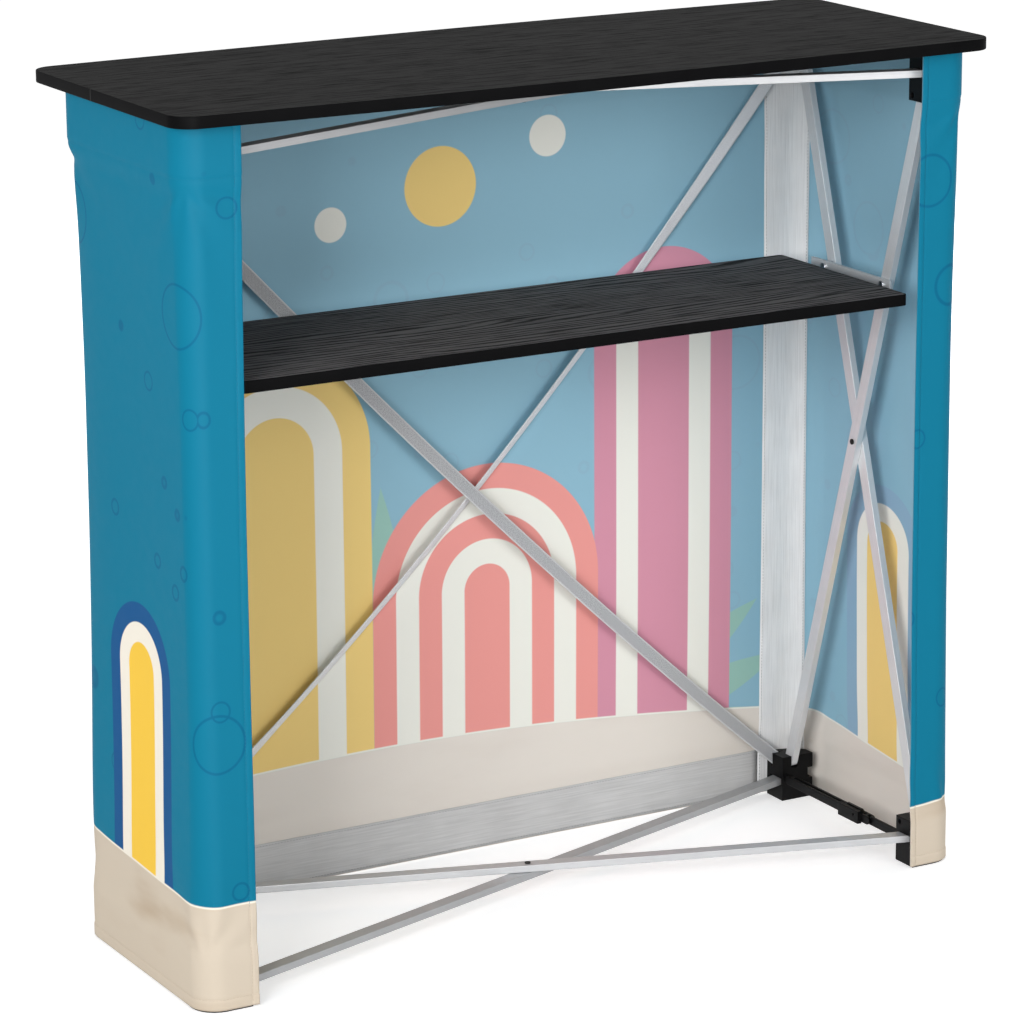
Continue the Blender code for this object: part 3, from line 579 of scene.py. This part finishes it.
def hang(s, z):
    """How far the cloth stands out from its plan: a waist, pleats at the connectors, slow ripples."""
    free = np.minimum(z - LOW_HUB, HIGH_HUB - z)
    waist = WAIST * (0.55 * smoothstep(free / STEP_RUN) + 0.45 * smoothstep(free / WAIST_RUN))
    ends = SIDE_WAIST * sum(bell(s - middle, SIDE_SPREAD) for middle in SIDES)
    bends = CORNER_WAIST * sum(bell(s - middle, CORNER_SPREAD) for middle in CORNERS[1:3])
    rise = smoothstep((z - 0.10) / 0.40) * smoothstep((HIGH_HUB - z) / STEP_RUN)
    folds = sum(
        pleats(s, z, centre, level, count)
        for centre, count in zip(CORNERS, PLEAT_COUNTS) for level in (LOW_HUB, HIGH_HUB))
    on_face = smoothstep((FACE_RUN / 2 - abs(s - WRAP_LENGTH / 2)) / 0.08)
    ripple = np.sin(9.1 * s + 3.0 * z) * np.sin(4.3 * z + 11.0 * s + 0.7)
    folded = smoothstep(free / 0.03) * PLEAT_HEIGHT * folds
    rippled = smoothstep(free / 0.10) * RIPPLE_HEIGHT * ripple
    drawn_in = waist + ends * smoothstep(free / WAIST_RUN) + bends * rise
    return (1 - on_face) * (folded + rippled) - drawn_in


print("cloth: free from", round(LOW_HUB, 4), "m to", round(HIGH_HUB, 4), "m up")

# %% [markdown]
# ## The wrap
# One shell stands for the five plain panels of the CAD model. Rows and columns are set closer
# where the cloth turns or is sewn. The hem at the bottom and top is a second layer, so it stands a
# little proud and is drawn in along its line of stitches; the free edges of the two flaps are
# turned in and sewn the same way, and wander by two or three millimetres as cut cloth does.

# %% Wrap surface
HEM = 0.014
TOP_HEM = WRAP_TOP - 0.0545
FLAP_SEW = 0.0075
HEM_PROUD = 0.0007
HEM_STEP = 0.0025
SEAM_DENT = 0.0005
SEAM_SPREAD = 0.0016
LEFT_DRIFT = 0.0020
RIGHT_DRIFT = 0.0030


def seam(distance):
    """Cloth drawn in along stitches: a narrow dent at distance 0."""
    return -SEAM_DENT * bell(distance, SEAM_SPREAD)


def doubled(distance):
    """Second layer of cloth at positive distance, with a soft step at its edge."""
    return HEM_PROUD * smoothstep(distance / HEM_STEP + 0.5)


def flap_drift(s, z):
    """How far the flaps' free edges stray along x: the left one up high, the right one down low."""
    left = LEFT_DRIFT * smoothstep((z - 0.45) / 0.40) * (1 - smoothstep(s / FLAP_RUN))
    right = RIGHT_DRIFT * (1 - z / WRAP_TOP) * (1 - smoothstep((WRAP_LENGTH - s) / FLAP_RUN))
    return left + right


def wrap_point(s, z, depth=0.0, sewn=True):
    """Place of the cloth at (s, z), a depth under its outside."""
    x, y, out_x, out_y = wrap_plan(s)
    stand = hang(s, z) - depth
    if sewn:
        edge = np.minimum(s, WRAP_LENGTH - s)
        stand = stand + np.maximum(doubled(HEM - z), doubled(z - TOP_HEM))
        stand = stand + seam(z - HEM) + seam(z - TOP_HEM)
        stand = stand + doubled(FLAP_SEW - edge) + seam(edge - FLAP_SEW)
    x = x + out_x * stand + flap_drift(s, z)
    return np.stack(np.broadcast_arrays(x, y + out_y * stand, z), axis=-1)


print("hems:", HEM, "m deep at the bottom and", round(WRAP_TOP - TOP_HEM, 4), "m at the top")


# %% Grid of the cloth
def spaced(stops):
    """Distances from stop to stop, each stretch cut into its own number of steps."""
    ends = [np.linspace(a, b, n, endpoint=False) for (a, n), (b, _) in zip(stops, stops[1:])]
    return np.concatenate([*ends, [stops[-1][0]]])


# Columns in the seven runs from one near corner to the other.
STEPS = [16, 30, 18, 96, 18, 30, 16]
COLUMNS = spaced([
    (0.0, 4), (0.0045, 8), (0.0115, 6), *zip(RUN_ENDS[1:8], STEPS), (RUN_ENDS[8], 6),
    (WRAP_LENGTH - 0.0115, 8), (WRAP_LENGTH - 0.0045, 4), (WRAP_LENGTH, 1)])
ROWS = spaced([
    (WRAP_BOTTOM, 4), (0.010, 8), (0.019, 8), (0.062, 10), (0.12, 8), (0.20, 56),
    (0.76, 8), (0.84, 6), (0.872, 16), (0.905, 7), (0.949, 3), (WRAP_TOP, 1)])
S, Z = np.meshgrid(COLUMNS, ROWS)
OUTER = wrap_point(S, Z)
INNER = wrap_point(S, Z, CLOTH_THICK, sewn=False)
print("cloth grid:", S.shape, "span in x", np.ptp(OUTER[..., 0]))

# %% [markdown]
# ## A printed knit
# The wrap is a polyester knit with a dye-printed picture: a teal ground over a sand-coloured foot,
# with plain shapes of its own on it, arches, fans of leaves, discs and bubbles. The inside shows
# the same print, paler: the dye goes only part of the way through, and the pale veil over it is
# painted light, for light that shines through the thin knit. All shapes are distances
# in the cloth's own flat coordinates, which are metres along and up it in a UV map.

# %% Shapes for the print
TEAL = ink(11, 117, 147)
DEEP_TEAL = ink(6, 101, 136)
SAND = ink(209, 196, 178)
SAND_SHADE = ink(190, 171, 148)
CREAM = ink(243, 236, 222)
SUN = ink(246, 201, 74)
CORAL = ink(240, 124, 104)
ROSE = ink(214, 88, 118)
LEAF = ink(92, 150, 92)
NIGHT = ink(22, 84, 138)
VEIL = ink(205, 240, 255)
SAND_VEIL = ink(240, 238, 236)


def length(a, b):
    """Length of (a, b), as sockets."""
    return (a * a + b * b).math("SQRT")


def arch_distance(u, v, middle, half, top):
    """Distance outside an arch: straight legs below top - half, and a half circle above."""
    rise = (v - (top - half)).math("MAXIMUM", 0.0)
    return length(u - middle, rise) - half


def paint(ground, distance, colour, soft=0.0008):
    """Colour where a distance is negative, with a print's slightly soft edge."""
    return mixed(1 - ease(distance, -soft, soft), ground, colour)


def banded(ground, distance, colours, width):
    """Bands inside one another, each a width further in."""
    for k, colour in enumerate(colours):
        ground = paint(ground, distance + k * width, colour)
    return ground


def leaf_fan(u, v, foot, spread, reach, half):
    """Fan of leaves: |turn to the nearest leaf| x r is under half 4 t (1 - t), with t = r / reach."""
    across = u - foot[0]
    up = v - foot[1]
    out = length(across, up)
    turn = up.math("ARCTAN2", across) / spread
    from_rib = abs(turn - turn.math("ROUND")) * (out * spread)
    share = out / reach
    return from_rib - (share - share * share) * (4 * half)


def bubbles(flat, scale, size, line):
    """Thin rings scattered about: one in each cell of a Voronoi pattern."""
    sockets = {"Vector": flat, "Scale": scale, "Randomness": 0.8}
    cell = flat.node("ShaderNodeTexVoronoi", {"feature": "F1"}, sockets)
    span = cell.also("Distance") / scale
    return abs(span - size) - line


print("shapes: arch, disc, bands, fan of leaves and bubbles")

# %% The design
# Rings: cells in a metre, radius, half the line. Fans: foot, angle from leaf to leaf, reach, half a leaf.
RINGS = [(7.5, 0.034, 0.0013), (17.0, 0.011, 0.0011)]
FANS = [((-0.085, 0.10), 0.27, 0.36, 0.026), ((0.185, 0.10), 0.30, 0.27, 0.024)]
# Arches: middle, half the width and top, then the bands from the outside in and their width.
ARCHES = [
    ((0.275, 0.095, 0.70), [ROSE, CREAM, ROSE], 0.030),
    ((-0.235, 0.120, 0.63), [SUN, CREAM, SUN], 0.036),
    ((0.035, 0.150, 0.47), [CORAL, CREAM, CORAL, CREAM, CORAL], 0.030),
    ((-0.635, 0.075, 0.42), [NIGHT, CREAM, SUN], 0.022),
    ((0.635, 0.075, 0.42), [NIGHT, CREAM, SUN], 0.022),
]
# Discs: middle, height, radius and colour.
DISCS = [(-0.02, 0.80, 0.046, SUN), (0.12, 0.845, 0.024, CREAM), (-0.16, 0.77, 0.020, CREAM)]
SHORE_LEVEL = 0.120
SHORE_SWELL = 0.026
SHORE_SPAN = 0.9
SHORE_LINE = 0.0022


def picture(flat, middle, v):
    """The printed colours above the foot: rings, fans of leaves, arches and discs on teal."""
    ground = TEAL
    for scale, size, line in RINGS:
        ground = paint(ground, bubbles(flat, scale, size, line), DEEP_TEAL)
    for foot, spread, reach, half in FANS:
        ground = paint(ground, leaf_fan(middle, v, foot, spread, reach, half), LEAF)
    for shape, colours, width in ARCHES:
        ground = banded(ground, arch_distance(middle, v, *shape), colours, width)
    for across, up, size, colour in DISCS:
        ground = paint(ground, length(middle - across, v - up) - size, colour)
    return ground


def shore_height(middle):
    """Edge of the foot: level + swell (cos(pi m / span) - m), with m from the face's middle."""
    wave = (middle * (math.pi / SHORE_SPAN)).math("COSINE")
    return wave * SHORE_SWELL - middle * SHORE_SWELL + SHORE_LEVEL


print("design:", len(ARCHES), "arches,", len(DISCS), "discs and", len(FANS), "fans of leaves")

# %% [markdown]
# On the inside the print goes towards a pale veil, which is painted light for light shining through
# the knit, by a share that is a sum: smaller where a colour has much red, and larger on the foot.
# The knit's loops are finer than a pixel, and only a bump shows them.


# %% Knit finish
VEIL_SHARE = 0.45
VEIL_LESS_RED = 0.30
VEIL_MORE_FOOT = 0.27
LOOP_PITCH = (5200, 4200)


def knit(name):
    """Printed knit: ground and shapes, a sand foot with slow dunes, an inside with a painted-light veil,
    fine loops.
    """
    material, place = start_finish(name)
    flat = place.node("ShaderNodeUVMap", {"uv_map": "cloth"})
    parts = flat.node("ShaderNodeSeparateXYZ", None, {0: flat})
    u = parts.also("X")
    v = parts.also("Y")
    middle = u - WRAP_LENGTH / 2
    shore = shore_height(middle)
    dune = ease(noise(mapped(flat, (5.0, 16.0, 1.0), (1.3, 0.2, 0.0)), 1.0, 3.0), 0.48, 0.80)
    foot = mixed(dune, SAND, SAND_SHADE)
    printed = paint(picture(flat, middle, v), v - shore - SHORE_LINE, CREAM)
    printed = paint(printed, v - shore, foot)
    veil = paint(VEIL, v - shore, SAND_VEIL)
    red = printed.node("ShaderNodeSeparateColor", None, {0: printed}, "Red")
    below = 1 - ease(v - shore, -0.001, 0.001)
    # Painted light: the inside is mixed towards the pale veil, standing in for light through the knit.
    inside_colour = mixed(VEIL_SHARE - red * VEIL_LESS_RED + below * VEIL_MORE_FOOT, printed, veil)
    inside = place.node("ShaderNodeAttribute", {"attribute_name": "inside"}, output="Fac")
    loops = (u * LOOP_PITCH[0]).math("SINE") * (v * LOOP_PITCH[1]).math("SINE")
    cloud = noise(flat, 60.0, 3.0)
    end_finish(place, {
        "Base Color": mixed(inside, printed, inside_colour),
        "Roughness": 0.52 + cloud * 0.12,
        "Normal": bumped(loops * 0.5 + cloud, 0.10, 0.0004),
        "Specular IOR Level": 0.06,
    })
    return material


KNIT = knit("printed_knit")
print("finish:", KNIT.name, "with", len(KNIT.node_tree.nodes), "nodes")

# %% Wrap piece
points, quads = shell(OUTER[::-1], INNER[::-1])
flat = np.stack([S[::-1], Z[::-1]], axis=-1).reshape(-1, 2)
flat = np.concatenate([flat, flat])
wrap = add_piece("fabric_wrap", points, quads, KNIT, flat=flat)
inside = wrap.data.attributes.new("inside", "FLOAT", "POINT")
inside.data.foreach_set("value", np.repeat([0.0, 1.0], S.size).astype(np.float32))
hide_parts(*named("wrap_"))

# %% [markdown]
# ## Loop tape
# Silver-grey loop tape is sewn flat to the inside of the cloth: a wide strip in each far corner and
# one along the bottom and the top of the customer's face. It grips hook tape on the frame. Each
# strip could be a flat plate, but the cloth is drawn in between the connectors, so a strip is the
# cloth's own formula once more, at a greater depth. Its loops lie along the strip, so its finish is
# noise drawn out that way, in the strip's own flat coordinates.


# %% Loop tape finish
def pile(name, tone):
    """Streaks of loops along the tape, with a fine fuzz and a slow cloud."""
    material, place = start_finish(name)
    flat = place.node("ShaderNodeUVMap", {"uv_map": "cloth"})
    streak = noise(mapped(flat, (14.0, 520.0, 1.0)), 1.0, 3.0, 0.6)
    fuzz = noise(flat, 1500.0, 2.0)
    cloud = noise(flat, 22.0, 2.0)
    shade = streak * 0.55 + fuzz * 0.25 + cloud * 0.20
    end_finish(place, {
        "Base Color": mixed(ease(shade, 0.25, 0.75), ink(*(tone - 16,) * 3), ink(*(tone + 12,) * 3)),
        "Roughness": 0.80 + fuzz * 0.15,
        "Normal": bumped(streak + fuzz, 0.20, 0.0004),
        "Specular IOR Level": 0.15,
    })
    return material


# Painted light and shade: the tape is one grey, but the upright strips in the far corners are painted
# paler and the level strips darker, for the light each gets.
UPRIGHT_PILE = pile("loop_tape_upright", tone=238)
LEVEL_PILE = pile("loop_tape_level", tone=198)
print("finishes:", UPRIGHT_PILE.name, "and", LEVEL_PILE.name)

# %% Strips of loop tape
TAPE_GAP = CLOTH_THICK + 0.0003
TAPE_THICK = 0.0010
TAPE_FLAT = 0.029
FACE_S = (RUN_ENDS[4] + TAPE_FLAT, RUN_ENDS[5] - TAPE_FLAT)
LEVEL_S = (FACE_S[0] + 0.0005, FACE_S[1] - 0.0005)
UPRIGHT_Z = (WRAP_BOTTOM + 0.001, WRAP_TOP - 0.001)
LOWER_Z = (0.0035, 0.0580)
UPPER_Z = (0.8990, 0.9535)
TAPES = []


def add_tape(node, s_ends, z_ends, upright):
    """Strip of the wrap's own surface between two distances along it and two heights."""
    columns, rows = (14, 120) if upright else (90, 14)
    s, z = np.meshgrid(np.linspace(*s_ends, columns), np.linspace(*z_ends, rows))
    points, quads = shell(
        wrap_point(s, z, TAPE_GAP, sewn=False)[::-1],
        wrap_point(s, z, TAPE_GAP + TAPE_THICK, sewn=False)[::-1])
    flat = np.stack([z, s] if upright else [s, z], axis=-1)[::-1].reshape(-1, 2)
    strip = add_piece(
        node + "_strip", points, quads, UPRIGHT_PILE if upright else LEVEL_PILE,
        flat=np.concatenate([flat, flat]))
    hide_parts(node)
    middle = wrap_point(s[0], z[0], TAPE_GAP + TAPE_THICK / 2, sewn=False)
    TAPES.append((s_ends, z_ends))


add_tape("loop_tape_upright_left", (RUN_ENDS[4] - FAR_RUN / 2, FACE_S[0]), UPRIGHT_Z, True)
add_tape("loop_tape_upright_right", (FACE_S[1], RUN_ENDS[5] + FAR_RUN / 2), UPRIGHT_Z, True)
add_tape("loop_tape_lower", LEVEL_S, LOWER_Z, False)
add_tape("loop_tape_upper", LEVEL_S, UPPER_Z, False)

# %% [markdown]
# ## Webbing straps
# Two straps of grey webbing cross behind the shelf and keep the frame square. They are pinned in
# slots of the far connectors, and because the frame is set up with a little slack they hang in a
# shallow bow. The rear one is turned half on edge between its ends, and its webbing is painted paler
# as painted light, where it hangs in shade behind the shelf. A strap is a ribbon carried along a
# parabola, and its turn about its own line is a formula of the distance along it.


# %% Webbing finish
def webbing(name, low, high):
    """Twill of two fine sines, flecked with noise, and a bright selvedge along both edges."""
    material, place = start_finish(name)
    flat = place.node("ShaderNodeUVMap", {"uv_map": "cloth"})
    parts = flat.node("ShaderNodeSeparateXYZ", None, {0: flat})
    u = parts.also("X")
    v = parts.also("Y")
    twill = ((u + v) * 3100).math("SINE") * 0.5 + ((u - v) * 2600).math("SINE") * 0.5
    fleck = noise(mapped(flat, (900.0, 1500.0, 1.0)), 1.0, 2.0, 0.6)
    selvedge = ease(abs(v), 0.0058, 0.0072)
    shade = ease(fleck + twill * 0.10, 0.34, 0.66)
    weave = mixed(shade, ink(low, low + 1, low + 5), ink(high, high + 1, high + 3))
    end_finish(place, {
        "Base Color": mixed(selvedge * 0.7, weave, ink(222, 223, 224)),
        "Roughness": 0.66 + fleck * 0.18,
        "Normal": bumped(twill * 0.5 + fleck, 0.30, 0.0004),
        "Specular IOR Level": 0.25,
    })
    return material


GREY_WEBBING = webbing("grey_webbing", low=138, high=194)
# Painted light: the rear strap is the same grey webbing, painted paler where it hangs in shade.
PALE_WEBBING = webbing("pale_webbing", low=212, high=244)
print("finishes:", GREY_WEBBING.name, "and", PALE_WEBBING.name)

# %% Straps
STRAP_WIDTH = 0.016
STRAP_THICK = 0.0012
STRAP_PAST = 0.005
STRAP_STEPS = (181, 9)
STRAP_TURN = 42


def pin_middle(name):
    """Middle of a pin's box."""
    low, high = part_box(name)
    return (np.array(low) + np.array(high)) / 2


def ribbon(name, node, pins, sag, bulge, twist, material):
    """Strap along start + t (end - start), lowered by sag 4 t (1 - t), turned by twist(t)."""
    start, end = (pin_middle(pin) for pin in pins)
    past = STRAP_PAST / np.linalg.norm(end - start)
    t = np.linspace(-past, 1 + past, STRAP_STEPS[0])[:, None]
    line = start + t * (end - start) - [0, 0, 1] * (sag * 4 * t * (1 - t))
    line = line - [0, 1, 0] * (bulge * np.sin(np.pi * np.clip(t, 0, 1)) ** 2)
    along = np.gradient(line, axis=0)
    along /= np.linalg.norm(along, axis=1, keepdims=True)
    facing = [0, 1, 0] - along * along[:, 1:2]
    facing /= np.linalg.norm(facing, axis=1, keepdims=True)
    across = np.cross(facing, along)
    turn = np.radians(twist(t))
    wide = across * np.cos(turn) + facing * np.sin(turn)
    thick = facing * np.cos(turn) - across * np.sin(turn)
    v = np.linspace(-STRAP_WIDTH / 2, STRAP_WIDTH / 2, STRAP_STEPS[1])
    middle = line[None] + v[:, None, None] * wide[None]
    points, quads = shell(middle + thick * STRAP_THICK / 2, middle - thick * STRAP_THICK / 2)
    run = np.concatenate([[0.0], np.cumsum(np.linalg.norm(np.diff(line, axis=0), axis=1))])
    flat = np.stack(np.meshgrid(run, v), axis=-1).reshape(-1, 2)
    strap = add_piece(name, points, quads, material, flat=np.concatenate([flat, flat]))
    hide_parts(node)
    print(name, "is", round(run[-1], 4), "m long")


def half_turned(t):
    """Flat at both ends, and turned by the strap's whole turn over the middle."""
    return STRAP_TURN * smoothstep((t - 0.02) / 0.22) * smoothstep((0.98 - t) / 0.34)


ribbon(
    "strap_front", "face_strap_front", ("strap_pin_lower_right", "strap_pin_upper_left"),
    sag=0.028, bulge=0.0098, twist=np.zeros_like, material=GREY_WEBBING)
ribbon(
    "strap_rear", "face_strap_rear", ("strap_pin_lower_left", "strap_pin_upper_right"),
    sag=0.050, bulge=0.0025, twist=half_turned, material=PALE_WEBBING)

# %% [markdown]
# ## Stitches
# The hems, the flaps' edges and the tapes are sewn with a straight stitch, one to every four
# millimetres. Painted dashes would vanish from the side, so each stitch is a small spindle of thread
# that rises from the cloth and dips back in. One array holds all the spindles of a seam at once.

# %% Stitches
STITCH = 0.0030
STITCH_GAP = 0.0009
THREAD = 0.00024
SPINDLE_STOPS = [0.0, 0.28, 0.72, 1.0]
SPINDLE_SIZES = [0.35, 1.0, 1.0, 0.35]


def spindles(starts, ends, outward):
    """Four rings of four points per stitch, on a line lifted by sin(pi t), closed at both ends."""
    t = np.array(SPINDLE_STOPS)[None, :, None, None]
    along = ends - starts
    along /= np.linalg.norm(along, axis=1, keepdims=True)
    beside = np.cross(outward, along)
    angle = np.radians([45, 135, 225, 315])[None, None, :, None]
    across = np.cos(angle) * beside[:, None, None] + np.sin(angle) * outward[:, None, None]
    middle = starts[:, None, None] + (ends - starts)[:, None, None] * t
    middle = middle + outward[:, None, None] * (THREAD * np.sin(np.pi * t))
    size = THREAD * np.array(SPINDLE_SIZES)[None, :, None, None]
    rings = np.arange(16).reshape(4, 4)
    side = grid_quads(np.concatenate([rings, rings[:, :1]], axis=1))
    faces = np.concatenate([side, [rings[0, ::-1], rings[-1]]])
    points = (middle + size * across).reshape(-1, 3)
    quads = faces[None] + 16 * np.arange(len(starts))[:, None, None]
    return points, quads.reshape(-1, 4)


def seam_line(ends, level, upright, depth, sewn):
    """Stitches between two ends along the wrap, at one height, or up it, at one distance along it."""
    count = int(np.ptp(ends) / (STITCH + STITCH_GAP))
    first = ends[0] + (np.arange(count) + 0.5) * np.ptp(ends) / count - STITCH / 2
    fixed = np.full(count, level)
    inward = -1.0 if depth else 1.0
    sides = [(fixed, first + k * STITCH) if upright else (first + k * STITCH, fixed) for k in (0, 1)]
    starts, stops = (wrap_point(s, z, depth, sewn) for s, z in sides)
    _, _, out_x, out_y = wrap_plan(sides[0][0])
    return spindles(starts, stops, inward * np.stack([out_x, out_y, 0 * out_x], axis=-1))


def stitching(name, lines, material):
    """One piece from several seams, with the point numbers of each moved on past the last."""
    points = np.concatenate([line[0] for line in lines])
    offsets = np.cumsum([0] + [len(line[0]) for line in lines[:-1]])
    quads = np.concatenate([line[1] + offset for line, offset in zip(lines, offsets)])
    return add_piece(name, points, quads, material)


print("stitch:", STITCH, "m long, thread", 2 * THREAD, "m thick")


# %% Thread finish
DYE_FALL = 0.048
DYE_CHANGE = (0.090, 0.099)
SAND_THREAD = (206, 191, 172)
TEAL_THREAD = (24, 122, 152)
GREY_THREAD = (128, 129, 132)


def thread(name, low, high):
    """Twisted thread in fine noise, dyed one colour below and another above.

    The foot of the print falls from left to right, and so does the height where the dye changes.
    """
    material, place = start_finish(name)
    twist = noise(place, 2600.0, 2.0)
    parts = place.node("ShaderNodeSeparateXYZ", None, {0: place})
    level = parts.also("Z") + parts.also("X") * DYE_FALL
    colour = mixed(ease(level, *DYE_CHANGE), ink(*low), ink(*high))
    end_finish(place, {
        "Base Color": mixed(twist * 0.2, colour, ink(30, 30, 30)),
        "Roughness": 0.55 + twist * 0.2,
        "Specular IOR Level": 0.10,
    })
    return material


WRAP_THREAD = thread("wrap_thread", SAND_THREAD, TEAL_THREAD)
TAPE_THREAD = thread("tape_thread", GREY_THREAD, GREY_THREAD)
print("finishes:", WRAP_THREAD.name, "and", TAPE_THREAD.name)

# %% Sew the wrap and the tapes
HEM_ENDS = (0.004, WRAP_LENGTH - 0.004)
FLAP_ENDS = (0.006, 0.951)
PILE_TOP = TAPE_GAP + TAPE_THICK
SEAM_IN = 0.0025
wrap_lines = [seam_line(HEM_ENDS, z, False, 0.0, True) for z in (HEM, TOP_HEM)]
wrap_lines += [seam_line(FLAP_ENDS, s, True, 0.0, True) for s in (FLAP_SEW, WRAP_LENGTH - FLAP_SEW)]
wrap_seams = stitching("wrap_stitching", wrap_lines, WRAP_THREAD)
tape_lines = [
    seam_line((z[0] + SEAM_IN, z[1] - SEAM_IN), edge, True, PILE_TOP, False)
    for s, z in TAPES[:2] for edge in (s[0] + SEAM_IN, s[1] - SEAM_IN)]
tape_lines += [
    seam_line((s[0] + SEAM_IN, s[1] - SEAM_IN), edge, False, PILE_TOP, False)
    for s, z in TAPES[2:] for edge in (z[0] + SEAM_IN, z[1] - SEAM_IN)]
stitching("tape_stitching", tape_lines, TAPE_THREAD)

# %% [markdown]
# ## Camera
# The photograph was taken with a long lens from the left of the open side, a little above the top.
# The place, the lens and the small roll were found by fitting the edges of the boards.

# %% Camera at the photograph's view
CAMERA_PLACE = Vector((-2.25867, -3.98784, 1.68416))
AZIMUTH = math.radians(29.372)
ELEVATION = math.radians(15.056)
ROLL = math.radians(-0.4125)
FOCAL_PIXELS = 4229.49
IMAGE_PIXELS = 1024
SENSOR_MM = 36.0
forward = Vector((
    math.sin(AZIMUTH) * math.cos(ELEVATION),
    math.cos(AZIMUTH) * math.cos(ELEVATION),
    -math.sin(ELEVATION)))
level = Vector((math.cos(AZIMUTH), -math.sin(AZIMUTH), 0.0))
upright = level.cross(forward)
right = level * math.cos(ROLL) + upright * math.sin(ROLL)
up = upright * math.cos(ROLL) - level * math.sin(ROLL)
lens = bpy.data.cameras.new("camera")
lens.sensor_width = SENSOR_MM
lens.lens = SENSOR_MM * FOCAL_PIXELS / IMAGE_PIXELS
camera = bpy.data.objects.new("camera", lens)
bpy.context.scene.collection.objects.link(camera)
turned = Matrix((right, up, -forward)).transposed().to_4x4()
camera.matrix_world = Matrix.Translation(CAMERA_PLACE) @ turned
bpy.context.scene.camera = camera
bpy.context.scene.view_settings.view_transform = "Standard"
print("lens:", round(lens.lens, 2), "mm")

# %% [markdown]
# ## Floor and light
# A plain white studio. The world is a soft even light, and it shows as white to the camera and to
# shiny surfaces. The floor is a pale sheet that glows a little for the same rays only, so that it
# reads as white but still darkens where the counter keeps the light off it. Two large soft lamps on
# the open side, the stronger one from the left, shape the folds and lay faint shadows inside. One
# behind lights the customer's face and leaves no shine on the boards. A narrow strip at the left does
# the reverse: it shows in shiny surfaces only.


# %% World
def seen_directly(at):
    """1 for rays that show the background itself: camera, glossy and transmission rays."""
    rays = at.node("ShaderNodeLightPath", output="Is Camera Ray")
    total = rays + rays.also("Is Glossy Ray") + rays.also("Is Transmission Ray")
    return total.math("MINIMUM", 1.0)


WORLD_LIGHT = 0.45
world = bpy.data.worlds.new("studio")
bpy.context.scene.world = world
world.use_nodes = True
world.node_tree.nodes.clear()
sky = Socket(world.node_tree)
strength = seen_directly(sky) * (1 - WORLD_LIGHT) + WORLD_LIGHT
glow = sky.node("ShaderNodeBackground", None, {"Color": (1, 1, 1, 1), "Strength": strength})
sky.node("ShaderNodeOutputWorld", None, {"Surface": glow})
print("world light:", WORLD_LIGHT)

# %% Floor
FLOOR_HALF = 30.0
FLOOR_GLOW = (0.48, 0.66)
GLOW_REACH = (0.6, 2.4)
floor_finish, at = start_finish("pale_floor")
matte = at.node("ShaderNodeBsdfDiffuse", None, {"Color": (0.80, 0.80, 0.80, 1)})
distance = at.node("ShaderNodeVectorMath", {"operation": "LENGTH"}, {0: at}, "Value")
far_off = ease(distance, *GLOW_REACH)
glow = mixed(far_off, *((share, share, share, 1) for share in FLOOR_GLOW))
shine = at.node("ShaderNodeEmission", None, {"Color": glow, "Strength": seen_directly(at)})
both = at.node("ShaderNodeAddShader", None, {0: matte, 1: shine})
at.node("ShaderNodeOutputMaterial", None, {"Surface": both})
floor_mesh = bpy.data.meshes.new("floor")
corners = [(-1, -1), (1, -1), (1, 1), (-1, 1)]
floor_mesh.from_pydata([(FLOOR_HALF * a, FLOOR_HALF * b, 0.0) for a, b in corners], [], [(0, 1, 2, 3)])
floor_mesh.materials.append(floor_finish)
floor = bpy.data.objects.new("floor", floor_mesh)
bpy.context.scene.collection.objects.link(floor)
print("floor:", 2 * FLOOR_HALF, "m wide")


# %% Lamps
AIM = (0, 0, 0.45)


def soft_lamp(name, place, aim, size, power):
    """Area lamp that faces a point, unseen by the camera."""
    data = bpy.data.lights.new(name, "AREA")
    data.shape = "RECTANGLE"
    data.size, data.size_y = size
    data.energy = power
    lamp = bpy.data.objects.new(name, data)
    lamp.location = place
    lamp.rotation_euler = (Vector(aim) - Vector(place)).to_track_quat("-Z", "Y").to_euler()
    lamp.visible_camera = False
    bpy.context.scene.collection.objects.link(lamp)
    return lamp


soft_lamp("key", place=(-3.4, -2.7, 1.75), aim=AIM, size=(1.8, 1.8), power=121.0)
soft_lamp("fill", place=(1.2, -3.6, 1.4), aim=AIM, size=(2.0, 2.0), power=46.0)
back = soft_lamp("back", place=(2.4, 3.3, 1.5), aim=AIM, size=(2.0, 2.0), power=90.0)
back.visible_glossy = False
strip = soft_lamp("strip", place=(-1.07, -2.46, 0.9), aim=(-0.3, 0.0, 0.5), size=(0.5, 1.8), power=100.0)
strip.visible_diffuse = False
print("lamps:", ", ".join(light.name for light in bpy.data.lights))
